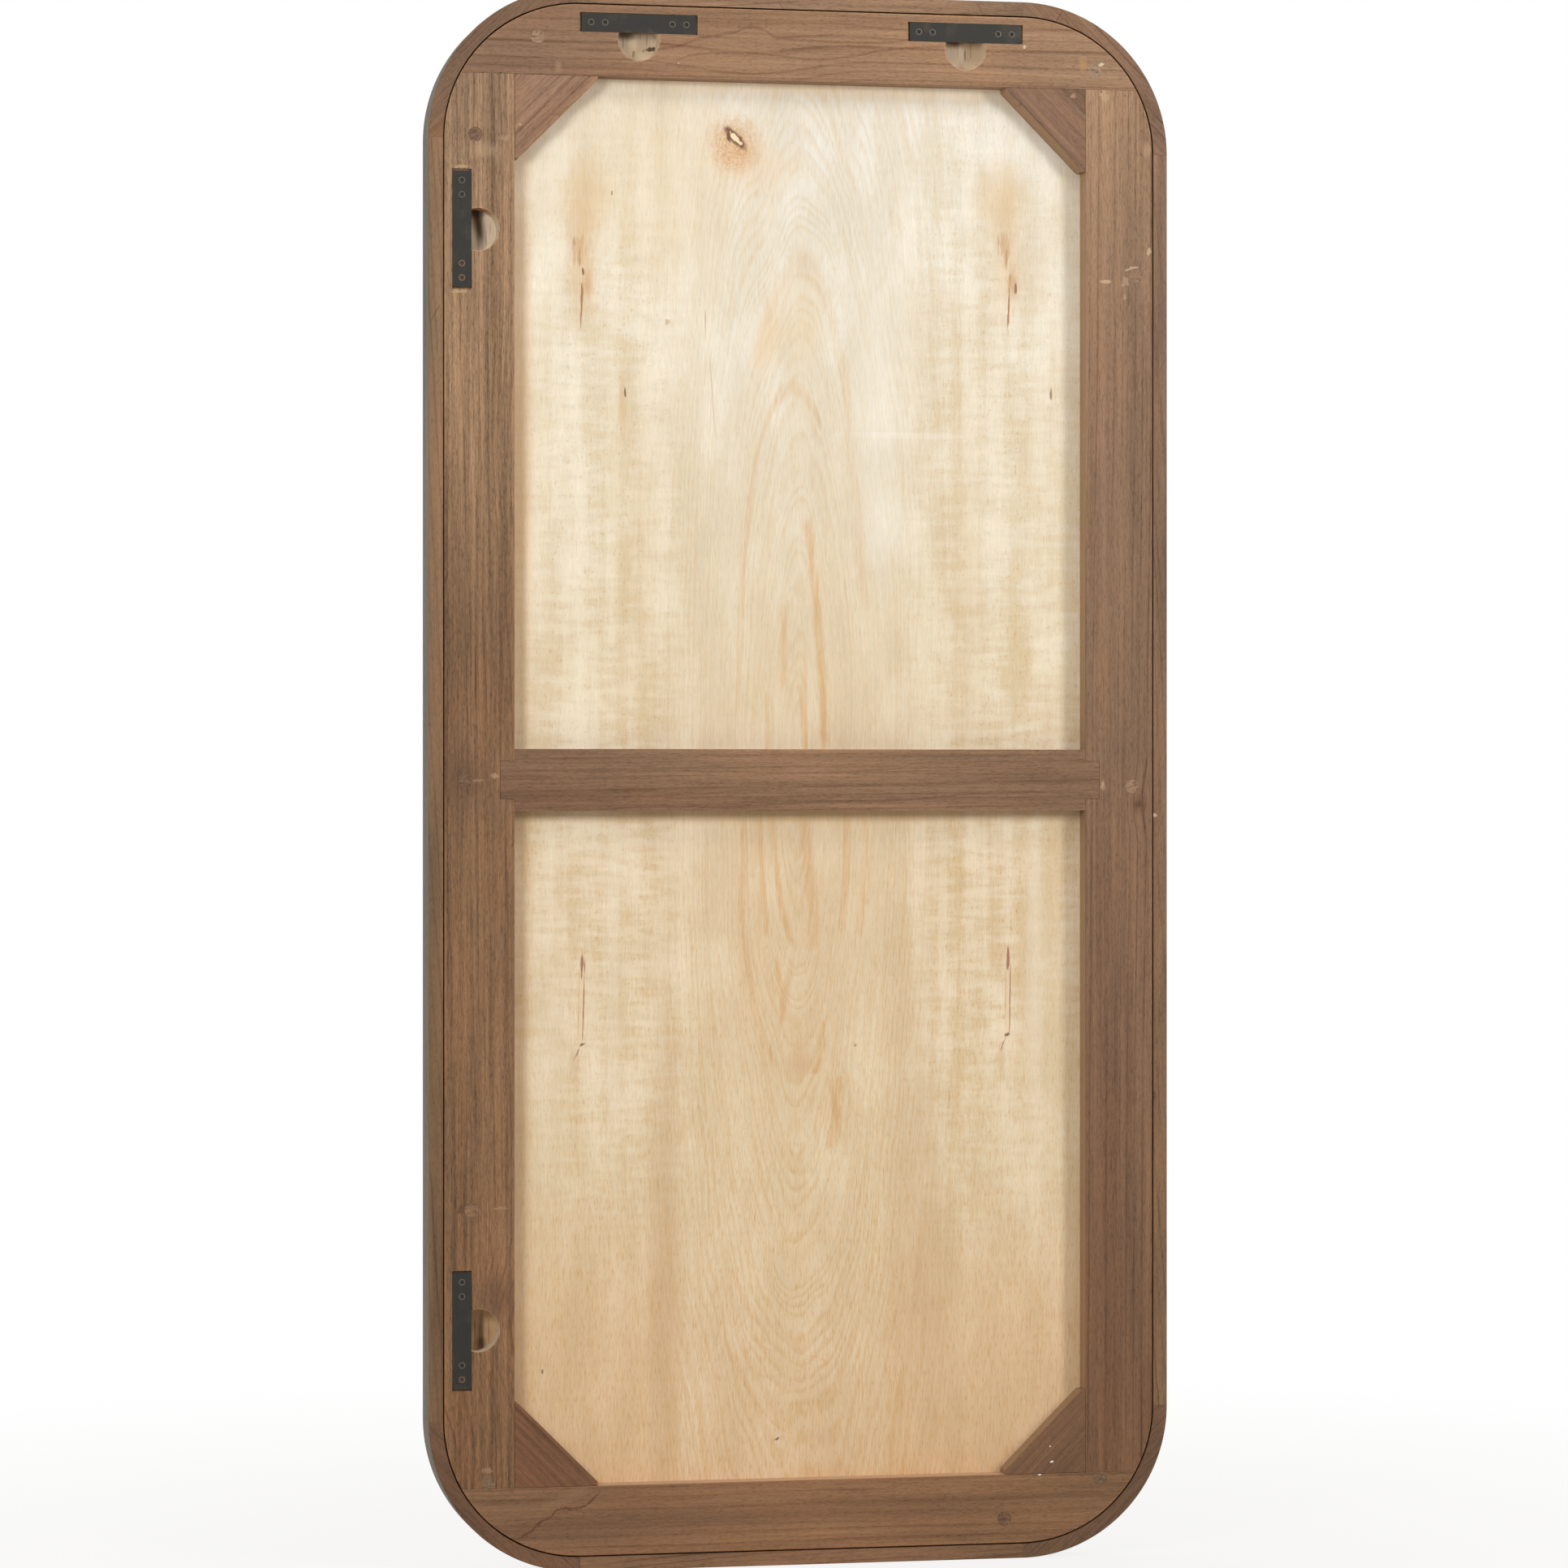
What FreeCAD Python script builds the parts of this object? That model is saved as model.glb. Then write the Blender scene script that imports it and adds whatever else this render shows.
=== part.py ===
import FreeCAD, Part
import math
import os

# Wooden wall mirror with rounded corners. All lengths are in millimetres.
# The glass faces -Y, the wall side faces +Y and +Z is up. The origin is the centre of the back plane.
# Left and right are named as seen from behind, so the left side lies towards +X.

# Overall size
overall_width = 800.0
overall_height = 1665.0
overall_depth = 50.0
corner_radius = 160.0

# Outer frame, an L section with a well at the back for the back frame and a rebate for the glass
rim_wall = 15.0
lip_width = 70.0
front_arris_radius = 3.0
back_arris_radius = 1.0

# Glass and plywood
glass_thickness = 4.0
glass_overlap = 10.0
glass_clearance = 1.5
panel_thickness = 5.0
panel_clearance = 1.0

# Dowels across the butt joints of the outer frame
dowel_diameter = 8.0
dowel_length = 36.0
dowel_end_room = 1.0
dowel_clearance = 0.1
lip_dowel_share = 0.3

# Back frame
frame_gap = 1.5
frame_thickness = 24.0
stile_width = 74.0
top_rail_width = 75.0
bottom_rail_width = 73.0
mid_rail_width = 65.0
shoulder_gap = 0.2
frame_arris = 0.8

# Hidden tenons of the stiles in the top and bottom rails
stile_tenon_width = 30.0
stile_tenon_thickness = 8.0
stile_tenon_length = 15.0
stile_tenon_setback = 8.0

# Stub tenons of the mid rail, let into the stiles from behind
stub_tenon_height = 40.0
stub_tenon_length = 15.0
stub_tenon_depth = 12.0
tenon_clearance = 0.3

# Corner braces
brace_leg = 88.0
brace_blunt = 4.0
brace_gap = 0.4

# Hangers, a steel bar let in flush over half of a round recess
plate_length = 122.0
plate_width = 20.0
plate_thickness = 3.0
plate_corner_radius = 2.0
plate_inset = 25.0
plate_set_in = 0.3
plate_end_room = 2.0
plate_side_room = 0.3
recess_diameter = 45.0
recess_offset = 7.0
top_hanger_end_room = 63.0
side_hanger_end_room = 95.5

# Screws of the hanger bars
hanger_screw_diameter = 3.5
hanger_screw_head = 7.0
hanger_screw_length = 18.0
hanger_screw_end_margin = 10.0
hanger_screw_spacing = 15.0

# Screws of the back frame, each below a plug
frame_screw_diameter = 4.5
frame_screw_head = 8.6
frame_screw_cover = 7.0
plug_diameter = 15.0
plug_depth = 8.0
screw_clearance = 0.1
screw_point_share = 1.5

# Places of the frame screws, drilled by hand into the solid part of the lip. The first share is of half
# the straight length of a side or, round a corner, of the quarter turn from its level end. The second is
# of the lip's solid part, from the rim wall inwards.
left_screw_shares = ((0.0, 0.54), (-0.67, 0.69))
right_screw_shares = ((0.806, 0.46), (-0.01, 0.552))
bottom_screw_shares = ((-0.915, 0.632),)
corner_screw_shares = {
    (1, 1): ((0.023, 0.782), (0.75, 0.644)),
    (-1, 1): ((0.533, 0.609),),
    (1, -1): ((0.372, 0.655),),
    (-1, -1): ((0.467, 0.69),),
}

# Chips along the back arris of the top braces' long edges. Each station has its share of that edge from
# the stile to the rail and the chip's width there as a share of the brace's thickness.
chip_depth_share = 3.0
brace_chip_shares = {
    "brace_top_left": (((0.12, 0.02), (0.2, 0.11), (0.34, 0.02)), ((0.52, 0.175), (0.8, 0.02))),
    "brace_top_right": (((0.03, 0.02), (0.25, 0.125), (0.83, 0.15)),),
}

# One overrun for every cut
overrun = 5.0

# Worked-out levels and places
half_width = overall_width / 2
half_height = overall_height / 2
straight_x = half_width - corner_radius
straight_z = half_height - corner_radius
well_depth = frame_thickness + panel_thickness
glass_front = well_depth + glass_thickness
rebate_start = lip_width - glass_overlap - glass_clearance
frame_inset = rim_wall + frame_gap
stile_outer = half_width - frame_inset
stile_inner = stile_outer - stile_width
top_rail_edge = half_height - frame_inset - top_rail_width
bottom_rail_edge = bottom_rail_width + frame_inset - half_height
plate_line_x = half_width - plate_inset - plate_width / 2
plate_line_z = half_height - plate_inset - plate_width / 2
recess_step = plate_width / 2 + recess_offset
frame_screw_length = overall_depth - plug_depth - frame_screw_cover

UP = FreeCAD.Vector(0, 0, 1)
TO_WALL = FreeCAD.Vector(0, 1, 0)
TO_FRONT = FreeCAD.Vector(0, -1, 0)
CENTRE = FreeCAD.Vector(0, 0, 0)
QUARTER_TURN = 90


def point(x, y, z):
    return FreeCAD.Vector(x, y, z)


def block(x_span, y_span, z_span):
    """Box between two values on each axis, given in either order."""
    spans = [sorted(span) for span in (x_span, y_span, z_span)]
    size = [high - low for low, high in spans]
    return Part.makeBox(*size, point(*[low for low, high in spans]))


def rod(radius, length, start, direction):
    return Part.makeCylinder(radius, length, start, direction)


def turned(shape, quarter_turns):
    """Copy turned about the Y axis, where one quarter turn takes +X to +Z."""
    copy = shape.copy()
    copy.rotate(CENTRE, TO_FRONT, QUARTER_TURN * quarter_turns)
    return copy


def moved(shape, x, y, z):
    copy = shape.copy()
    copy.translate(point(x, y, z))
    return copy


def arc(centre, radius, start_degrees, end_degrees, place):
    """Arc edge about a centre, where place turns two plane values into a point."""
    steps = (start_degrees, (start_degrees + end_degrees) / 2, end_degrees)
    ends = []
    for degrees in steps:
        angle = math.radians(degrees)
        ends.append(place(centre[0] + radius * math.cos(angle), centre[1] + radius * math.sin(angle)))
    return Part.Arc(*ends).toShape()


def closed_face(edges):
    return Part.Face(Part.Wire(Part.__sortEdges__(edges)))


def slab(inset, y_back, thickness):
    """Flat plate with the outline of the mirror, drawn in by an inset all round."""
    radius = corner_radius - inset

    def place(x, z):
        return point(x, y_back, z)

    edges = []
    for x_side, z_side, start in ((1, 1, 0), (-1, 1, 90), (-1, -1, 180), (1, -1, 270)):
        centre = (x_side * straight_x, z_side * straight_z)
        edges.append(arc(centre, radius, start, start + QUARTER_TURN, place))
    corners = [(edge.firstVertex().Point, edge.lastVertex().Point) for edge in edges]
    for number, (first, last) in enumerate(corners):
        following = corners[(number + 1) % len(corners)][0]
        edges.append(Part.makeLine(last, following))
    return closed_face(edges).extrude(TO_FRONT * thickness)


def rim_section(reach):
    """Section of the outer frame in the plane z = 0, with its outer face at x = reach."""

    def place(inset, y):
        return point(reach - inset, y, 0)

    front = -overall_depth
    corner = front_arris_radius
    soft = back_arris_radius
    path = [
        (soft, 0), (rim_wall, 0), (rim_wall, -well_depth), (rebate_start, -well_depth),
        (rebate_start, -glass_front), (lip_width, -glass_front), (lip_width, front + corner),
    ]
    points = [place(*pair) for pair in path]
    edges = [Part.makeLine(first, last) for first, last in zip(points, points[1:])]
    edges.append(arc((lip_width - corner, front + corner), corner, 0, -QUARTER_TURN, place))
    edges.append(Part.makeLine(place(lip_width - corner, front), place(corner, front)))
    edges.append(arc((corner, front + corner), corner, 270, 180, place))
    edges.append(Part.makeLine(place(0, front + corner), place(0, -soft)))
    edges.append(arc((soft, -soft), soft, 180, QUARTER_TURN, place))
    return closed_face(edges)


def dowel_set(radius, length):
    """Dowels, or their holes, across the eight butt joints: one in the wall and one in the lip."""
    lip_inset = rim_wall + (rebate_start - rim_wall) * lip_dowel_share
    lip_level = -(well_depth + overall_depth) / 2
    places = ((rim_wall / 2, -well_depth / 2), (lip_inset, lip_level))
    rods = []
    for quarter, reach, run in ((0, half_width, straight_z), (1, half_height, straight_x)):
        for opposite in (0, 2):
            for joint in (-run, run):
                for inset, y in places:
                    start = point(reach - inset, y, joint - length / 2)
                    rods.append(turned(rod(radius, length, start, UP), quarter + opposite))
    return Part.Compound(rods)


def frame_screw_places():
    """Points (x, z) of the frame screws, all above the solid part of the lip."""

    def inset(share):
        return rim_wall + (rebate_start - rim_wall) * share

    places = [(half_width - inset(across), along * straight_z) for along, across in left_screw_shares]
    places += [(inset(across) - half_width, along * straight_z) for along, across in right_screw_shares]
    places += [(along * straight_x, inset(across) - half_height) for along, across in bottom_screw_shares]
    for (x_side, z_side), screw_shares in corner_screw_shares.items():
        for along, across in screw_shares:
            angle = math.radians(QUARTER_TURN * along)
            ring = corner_radius - inset(across)
            x = x_side * (straight_x + ring * math.cos(angle))
            z = z_side * (straight_z + ring * math.sin(angle))
            places.append((x, z))
    return places


def countersunk_screw(shank, head, length):
    """Screw with a flat head at y = 0 that points towards the front, with a conical point."""
    shank_radius = shank / 2
    head_radius = head / 2
    neck = head_radius - shank_radius
    point_start = length - shank * screw_point_share
    path = [
        point(0, 0, 0), point(head_radius, 0, 0), point(shank_radius, -neck, 0),
        point(shank_radius, -point_start, 0), point(0, -length, 0), point(0, 0, 0),
    ]
    return Part.Face(Part.makePolygon(path)).revolve(CENTRE, TO_WALL, 360)


def hanger_places():
    """Name, turn about Y, reach from the centre and offset along the side of each hanger."""
    top = straight_x - top_hanger_end_room
    side = straight_z - side_hanger_end_room
    return (
        ("top_left", 1, plate_line_z, -top),
        ("top_right", 1, plate_line_z, top),
        ("side_upper", 0, plate_line_x, side),
        ("side_lower", 0, plate_line_x, -side),
    )


def at_hanger(shape, turn, reach, offset):
    """Shape drawn about a hanger bar's centre, with its length along Z, carried to its place."""
    return turned(moved(shape, reach, 0, offset), turn)


def hanger_screw_offsets():
    outer = plate_length / 2 - hanger_screw_end_margin
    inner = outer - hanger_screw_spacing
    return (-outer, -inner, inner, outer)


def hanger_plate():
    """Steel bar with rounded corners and four countersunk holes."""
    y_span = (-plate_set_in - plate_thickness, -plate_set_in)
    half_length = plate_length / 2
    bar = block((-plate_width / 2, plate_width / 2), y_span, (-half_length, half_length))
    corners = [edge for edge in bar.Edges if abs(edge.tangentAt(edge.FirstParameter).y) > 0.5]
    bar = bar.makeFillet(plate_corner_radius, corners)
    hole = countersunk_screw(
        hanger_screw_diameter + 2 * screw_clearance, hanger_screw_head + 2 * screw_clearance,
        hanger_screw_length + overrun)
    return bar.cut(Part.Compound([moved(hole, 0, -plate_set_in, z) for z in hanger_screw_offsets()]))


def hanger_cutters():
    """Mortise of the bar, round recess and pilot holes at each hanger."""
    half_slot = plate_length / 2 + plate_end_room
    half_side = plate_width / 2 + plate_side_room
    y_span = (-plate_set_in - plate_thickness, overrun)
    mortise = block((-half_side, half_side), y_span, (-half_slot, half_slot))
    start = point(-recess_step, overrun, 0)
    recess = rod(recess_diameter / 2, frame_thickness + 2 * overrun, start, TO_FRONT)
    pilot = countersunk_screw(
        hanger_screw_diameter + 2 * screw_clearance, hanger_screw_head + 2 * screw_clearance,
        hanger_screw_length + screw_clearance)
    shapes = [mortise, recess] + [moved(pilot, 0, -plate_set_in, z) for z in hanger_screw_offsets()]
    cutters = []
    for name, turn, reach, offset in hanger_places():
        cutters += [at_hanger(shape, turn, reach, offset) for shape in shapes]
    return cutters


def frame_screw_cutters():
    """Counterbore of the plug and hole of the screw at each frame screw."""
    hole = countersunk_screw(
        frame_screw_diameter + 2 * screw_clearance, frame_screw_head + 2 * screw_clearance,
        frame_screw_length + screw_clearance)
    radius = plug_diameter / 2 + screw_clearance
    counterbore = rod(radius, plug_depth + overrun, point(0, overrun, 0), TO_FRONT)
    cutters = []
    for x, z in frame_screw_places():
        cutters.append(moved(hole, x, -plug_depth, z))
        cutters.append(moved(counterbore, x, 0, z))
    return cutters


def rim_pieces():
    """Four straight lengths and four quarter-round corners of the outer frame."""
    dowel_holes = dowel_set(dowel_diameter / 2 + dowel_clearance, dowel_length + 2 * dowel_end_room)
    cutters = Part.Compound([dowel_holes] + frame_screw_cutters())
    side = moved(rim_section(half_width), 0, 0, -straight_z).extrude(UP * (2 * straight_z))
    end = moved(rim_section(half_height), 0, 0, -straight_x).extrude(UP * (2 * straight_x))
    bend = rim_section(corner_radius).revolve(CENTRE, TO_FRONT, QUARTER_TURN)
    pieces = {
        "rim_left": side,
        "rim_right": turned(side, 2),
        "rim_top": turned(end, 1),
        "rim_bottom": turned(end, 3),
        "rim_corner_top_left": moved(bend, straight_x, 0, straight_z),
        "rim_corner_top_right": moved(turned(bend, 1), -straight_x, 0, straight_z),
        "rim_corner_bottom_right": moved(turned(bend, 2), -straight_x, 0, -straight_z),
        "rim_corner_bottom_left": moved(turned(bend, 3), straight_x, 0, -straight_z),
    }
    return {name: shape.cut(cutters) for name, shape in pieces.items()}


def mirror_glass():
    return slab(rebate_start + glass_clearance, -well_depth, glass_thickness)


def back_panel():
    sheet = slab(rim_wall + panel_clearance, -frame_thickness, panel_thickness)
    return sheet.cut(Part.Compound(frame_screw_cutters()))


def stile_tenon(side, end, edge, room):
    """Tenon at one end of a stile, or its mortise when room is not zero."""
    inner = stile_inner + stile_tenon_setback
    middle = -frame_thickness / 2
    half = stile_tenon_thickness / 2 + room
    x_span = (side * (inner - room), side * (inner + stile_tenon_width + room))
    z_span = (edge - end * overrun, edge + end * (stile_tenon_length + room))
    return block(x_span, (middle - half, middle + half), z_span)


def stub_tenon(side, room):
    """Stub tenon at one end of the mid rail, or its mortise when room is not zero."""
    half = stub_tenon_height / 2 + room
    x_span = (side * (stile_inner - overrun), side * (stile_inner + stub_tenon_length + room))
    y_back = overrun if room else 0
    return block(x_span, (-stub_tenon_depth - room, y_back), (-half, half))


def back_frame_blank():
    """Slab that the rails and stiles are parted from, with its outer edge eased at the back."""
    blank = slab(frame_inset, 0, frame_thickness)
    back_edges = [edge for edge in blank.Edges if edge.BoundBox.YMin > -frame_arris]
    return blank.makeChamfer(frame_arris, back_edges)


def end_rail(end, edge, cutters):
    """Top or bottom rail: the end of the back frame's slab beyond a straight edge."""
    limit = block((-half_width, half_width), (-overall_depth, overrun), (edge, end * half_height))
    rail = back_frame_blank().common(limit)
    mortises = [stile_tenon(side, end, edge, tenon_clearance) for side in (1, -1)]
    return rail.cut(Part.Compound(mortises + cutters))


def stile(side, cutters):
    """Upright of the back frame with a tenon at each end and a mortise for the mid rail."""
    z_span = (bottom_rail_edge + shoulder_gap, top_rail_edge - shoulder_gap)
    limit = block((side * stile_inner, side * half_width), (-overall_depth, overrun), z_span)
    upright = back_frame_blank().common(limit)
    tenons = [stile_tenon(side, 1, top_rail_edge, 0), stile_tenon(side, -1, bottom_rail_edge, 0)]
    upright = upright.fuse(tenons).removeSplitter()
    return upright.cut(Part.Compound([stub_tenon(side, tenon_clearance)] + cutters))


def mid_rail():
    reach = stile_inner - shoulder_gap
    half = mid_rail_width / 2
    rail = block((-reach, reach), (-frame_thickness, 0), (-half, half))
    return rail.fuse([stub_tenon(side, 0) for side in (1, -1)]).removeSplitter()


def chip(start, along, across, stations):
    """Cutter for a chipped arris: a section lofted along the arris, as wide as each station says."""
    sections = []
    for place_share, width_share in stations:
        width = frame_thickness * width_share
        arris = start + along * place_share
        inner = arris - across * width
        outer = arris + across * width
        above = TO_WALL * width
        below = TO_FRONT * (width * chip_depth_share)
        section = [inner, inner + above, outer + above, outer + below, arris + below, inner]
        sections.append(Part.makePolygon(section))
    return Part.makeLoft(sections, True, True)


def corner_brace(name, x_side, z_side, edge):
    """Triangular block in a corner of the back frame, its long edge blunted at both ends."""
    x_start = stile_inner - brace_gap
    z_start = edge - z_side * brace_gap
    long_edge = ((brace_leg, brace_blunt), (brace_blunt, brace_leg))
    outline = ((0, 0), (brace_leg, 0), *long_edge, (0, brace_leg), (0, 0))
    path = [point(x_side * (x_start - x), 0, z_start - z_side * z) for x, z in outline]
    wedge = Part.Face(Part.makePolygon(path)).extrude(TO_FRONT * frame_thickness)
    at_rail, at_stile = path[2], path[3]
    across = point(-x_side, 0, -z_side).normalize()
    stations_list = brace_chip_shares.get(name, ())
    chips = [chip(at_stile, at_rail - at_stile, across, stations) for stations in stations_list]
    return wedge.cut(Part.Compound(chips)) if chips else wedge


def back_frame_pieces():
    cutters = hanger_cutters() + frame_screw_cutters()
    pieces = {
        "top_rail": end_rail(1, top_rail_edge, cutters),
        "bottom_rail": end_rail(-1, bottom_rail_edge, cutters),
        "left_stile": stile(1, cutters),
        "right_stile": stile(-1, cutters),
        "mid_rail": mid_rail(),
    }
    for z_name, z_side, edge in (("top", 1, top_rail_edge), ("bottom", -1, bottom_rail_edge)):
        for x_name, x_side in (("left", 1), ("right", -1)):
            name = f"brace_{z_name}_{x_name}"
            pieces[name] = corner_brace(name, x_side, z_side, edge)
    return pieces


def hanger_pieces():
    plate = hanger_plate()
    screw = countersunk_screw(hanger_screw_diameter, hanger_screw_head, hanger_screw_length)
    pieces = {}
    screws = []
    for name, turn, reach, offset in hanger_places():
        pieces[f"hanger_plate_{name}"] = at_hanger(plate, turn, reach, offset)
        for z in hanger_screw_offsets():
            screws.append(at_hanger(moved(screw, 0, -plate_set_in, z), turn, reach, offset))
    pieces["hanger_screws"] = Part.Compound(screws)
    return pieces


def fastener_pieces():
    screw = countersunk_screw(frame_screw_diameter, frame_screw_head, frame_screw_length)
    plug = rod(plug_diameter / 2, plug_depth - screw_clearance, CENTRE, TO_FRONT)
    places = frame_screw_places()
    return {
        "frame_screws": Part.Compound([moved(screw, x, -plug_depth, z) for x, z in places]),
        "screw_plugs": Part.Compound([moved(plug, x, 0, z) for x, z in places]),
        "rim_dowels": dowel_set(dowel_diameter / 2, dowel_length),
    }


def all_pieces():
    pieces = rim_pieces()
    pieces["mirror_glass"] = mirror_glass()
    pieces["back_panel"] = back_panel()
    pieces.update(back_frame_pieces())
    pieces.update(hanger_pieces())
    pieces.update(fastener_pieces())
    return pieces


os.makedirs("parts", exist_ok=True)
for node, shape in all_pieces().items():
    shape.exportStep(f"parts/{node}.step")
    state = "valid" if shape.isValid() else "NOT VALID"
    print(node, len(shape.Solids), "solid", round(shape.Volume), "mm3", state)
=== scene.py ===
"""Wooden wall mirror with rounded corners, shown from behind: the finishes of its rim, back frame, hangers,
plywood back and glass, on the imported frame. Lengths are in metres and shades in sRGB from 0 to 255.

Places of marks are pixels of the photograph, carried to the object by the camera's own geometry.
"""
import logging
import math
from dataclasses import dataclass
from enum import Enum
from functools import cached_property
from typing import Optional, Union

import bmesh
import bpy
import numpy as np
from mathutils import Euler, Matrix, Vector


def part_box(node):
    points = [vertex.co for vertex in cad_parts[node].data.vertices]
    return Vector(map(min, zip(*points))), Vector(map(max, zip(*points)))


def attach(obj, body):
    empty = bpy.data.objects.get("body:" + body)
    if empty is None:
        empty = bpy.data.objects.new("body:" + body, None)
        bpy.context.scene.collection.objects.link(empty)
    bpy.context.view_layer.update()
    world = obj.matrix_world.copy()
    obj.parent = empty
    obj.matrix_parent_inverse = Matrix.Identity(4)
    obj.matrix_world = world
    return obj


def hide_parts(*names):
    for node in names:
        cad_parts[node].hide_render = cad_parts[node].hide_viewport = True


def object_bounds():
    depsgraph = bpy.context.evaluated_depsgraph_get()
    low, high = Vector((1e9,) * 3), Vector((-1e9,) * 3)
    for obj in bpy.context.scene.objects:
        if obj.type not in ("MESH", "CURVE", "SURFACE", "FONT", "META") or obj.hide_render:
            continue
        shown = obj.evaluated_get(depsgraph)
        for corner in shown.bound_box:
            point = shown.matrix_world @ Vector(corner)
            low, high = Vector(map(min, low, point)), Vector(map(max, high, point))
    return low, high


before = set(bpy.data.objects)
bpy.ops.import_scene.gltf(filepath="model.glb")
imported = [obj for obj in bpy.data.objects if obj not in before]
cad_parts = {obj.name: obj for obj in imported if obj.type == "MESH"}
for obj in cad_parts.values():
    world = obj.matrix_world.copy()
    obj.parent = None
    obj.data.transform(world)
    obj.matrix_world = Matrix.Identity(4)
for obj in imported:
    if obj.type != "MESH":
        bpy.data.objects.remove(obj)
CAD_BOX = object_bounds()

LOG = logging.getLogger("wall_mirror")
MM = 0.001
BODY = "root"
GOLDEN_ANGLE = 2.399
SHARP_ANGLE = math.radians(38.0)
RECESS_STEP = 17.0 * MM
WOOD_GLOSS = 0.25

Pixel = tuple[float, float]
Span = tuple[float, float]
Triple = tuple[float, float, float]
Tones = tuple[tuple[float, Triple], ...]
Term = Union["Field", float]


def linear(shade: Triple) -> tuple[float, ...]:
    """Turn an sRGB shade into a linear colour, by ((c + 0.055) / 1.055) ** 2.4 above the toe.

    Args:
        shade: Red, green and blue from 0 to 255.

    Returns:
        Linear red, green, blue and an alpha of 1.
    """
    part = np.asarray(shade) / 255.0
    part = np.where(part <= 0.04045, part / 12.92, ((part + 0.055) / 1.055) ** 2.4)
    return (*part.tolist(), 1.0)


def add(name: str, data: bpy.types.ID) -> bpy.types.Object:
    """Put a new object into the scene, at the origin.

    Args:
        name: The object's name.
        data: Its mesh, camera or lamp.

    Returns:
        The object.
    """
    made = bpy.data.objects.new(name, data)
    bpy.context.scene.collection.objects.link(made)
    return made


def facing(place: Triple, aim: Triple) -> Euler:
    """Turn of a camera or a lamp at a place that looks at another."""
    return (Vector(aim) - Vector(place)).to_track_quat("-Z", "Y").to_euler()


@dataclass(frozen=True)
class PhotoView:
    """Level camera of the photograph, which also carries its pixels to the object."""

    pixels: int = 1932
    sensor: float = 36.0
    lens: float = 120.0
    place: Triple = (1.1386, 5.427, -0.0043)
    aim: Triple = (0.0209, 0.0, -0.0043)

    def axes(self) -> np.ndarray:
        """Find the camera's own directions.

        Returns:
            Right, up and forward as rows.
        """
        forward = np.subtract(self.aim, self.place)
        forward = forward / np.linalg.norm(forward)
        right = np.cross(forward, (0.0, 0.0, 1.0))
        right = right / np.linalg.norm(right)
        return np.stack([right, np.cross(right, forward), forward])

    def on_plane(self, pixel: Pixel, depth: float) -> tuple[float, float]:
        """Find where the ray through a pixel meets an upright plane.

        Args:
            pixel: Column and row in the photograph.
            depth: The plane's y.

        Returns:
            The point's x and z.
        """
        right, up, forward = self.axes()
        slope = (np.asarray(pixel) - self.pixels / 2) * self.sensor / (self.lens * self.pixels)
        ray = forward + right * slope[0] - up * slope[1]
        reach = (depth - self.place[1]) / ray[1]
        return self.place[0] + ray[0] * reach, self.place[2] + ray[2] * reach

    def span(self, pixels: float) -> float:
        """Length on the back of the object that so many pixels cover."""
        distance = float(np.linalg.norm(np.subtract(self.aim, self.place)))
        return pixels * distance * self.sensor / (self.lens * self.pixels)

    def build(self) -> None:
        """Make the camera and set it as the scene's own."""
        data = bpy.data.cameras.new("photo_camera")
        data.lens = self.lens
        data.sensor_width = self.sensor
        camera = add("photo_camera", data)
        camera.location = self.place
        camera.rotation_euler = facing(self.place, self.aim)
        bpy.context.scene.camera = camera


VIEW = PhotoView()


class Field:
    """A shader socket whose operators add Math nodes, so that shader maths reads as Python."""

    def __init__(self, graph: "Graph", socket: bpy.types.NodeSocket) -> None:
        """Keep the graph and the socket that the value comes from."""
        self.graph = graph
        self.socket = socket

    def __add__(self, other: Term) -> "Field":
        """Sum."""
        return self.graph.math("ADD", self, other)

    __radd__ = __add__

    def __sub__(self, other: Term) -> "Field":
        """Difference."""
        return self.graph.math("SUBTRACT", self, other)

    def __rsub__(self, other: Term) -> "Field":
        """Difference from a number."""
        return self.graph.math("SUBTRACT", other, self)

    def __mul__(self, other: Term) -> "Field":
        """Product."""
        return self.graph.math("MULTIPLY", self, other)

    __rmul__ = __mul__

    def __truediv__(self, other: Term) -> "Field":
        """Quotient."""
        return self.graph.math("DIVIDE", self, other)

    def __rtruediv__(self, other: Term) -> "Field":
        """Quotient of a number."""
        return self.graph.math("DIVIDE", other, self)

    def __abs__(self) -> "Field":
        """Size without its sign."""
        return self.graph.math("ABSOLUTE", self)

    def floor(self) -> "Field":
        """Whole number below."""
        return self.graph.math("FLOOR", self)

    def fract(self) -> "Field":
        """Part after the point."""
        return self.graph.math("FRACT", self)

    def root(self) -> "Field":
        """Square root."""
        return self.graph.math("SQRT", self)

    def larger(self, other: Term) -> "Field":
        """The larger of two."""
        return self.graph.math("MAXIMUM", self, other)

    def rise(self, low: float, high: float, start: float = 0.0, end: float = 1.0) -> "Field":
        """Smooth step between two values.

        Args:
            low: Where the step begins.
            high: Where it ends.
            start: The value up to low.
            end: The value from high on.

        Returns:
            The step.
        """
        bounds = {"From Min": low, "From Max": high, "To Min": start, "To Max": end}
        return self.graph.field(
            "ShaderNodeMapRange", {"interpolation_type": "SMOOTHSTEP"}, {"Value": self, **bounds})


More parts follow.
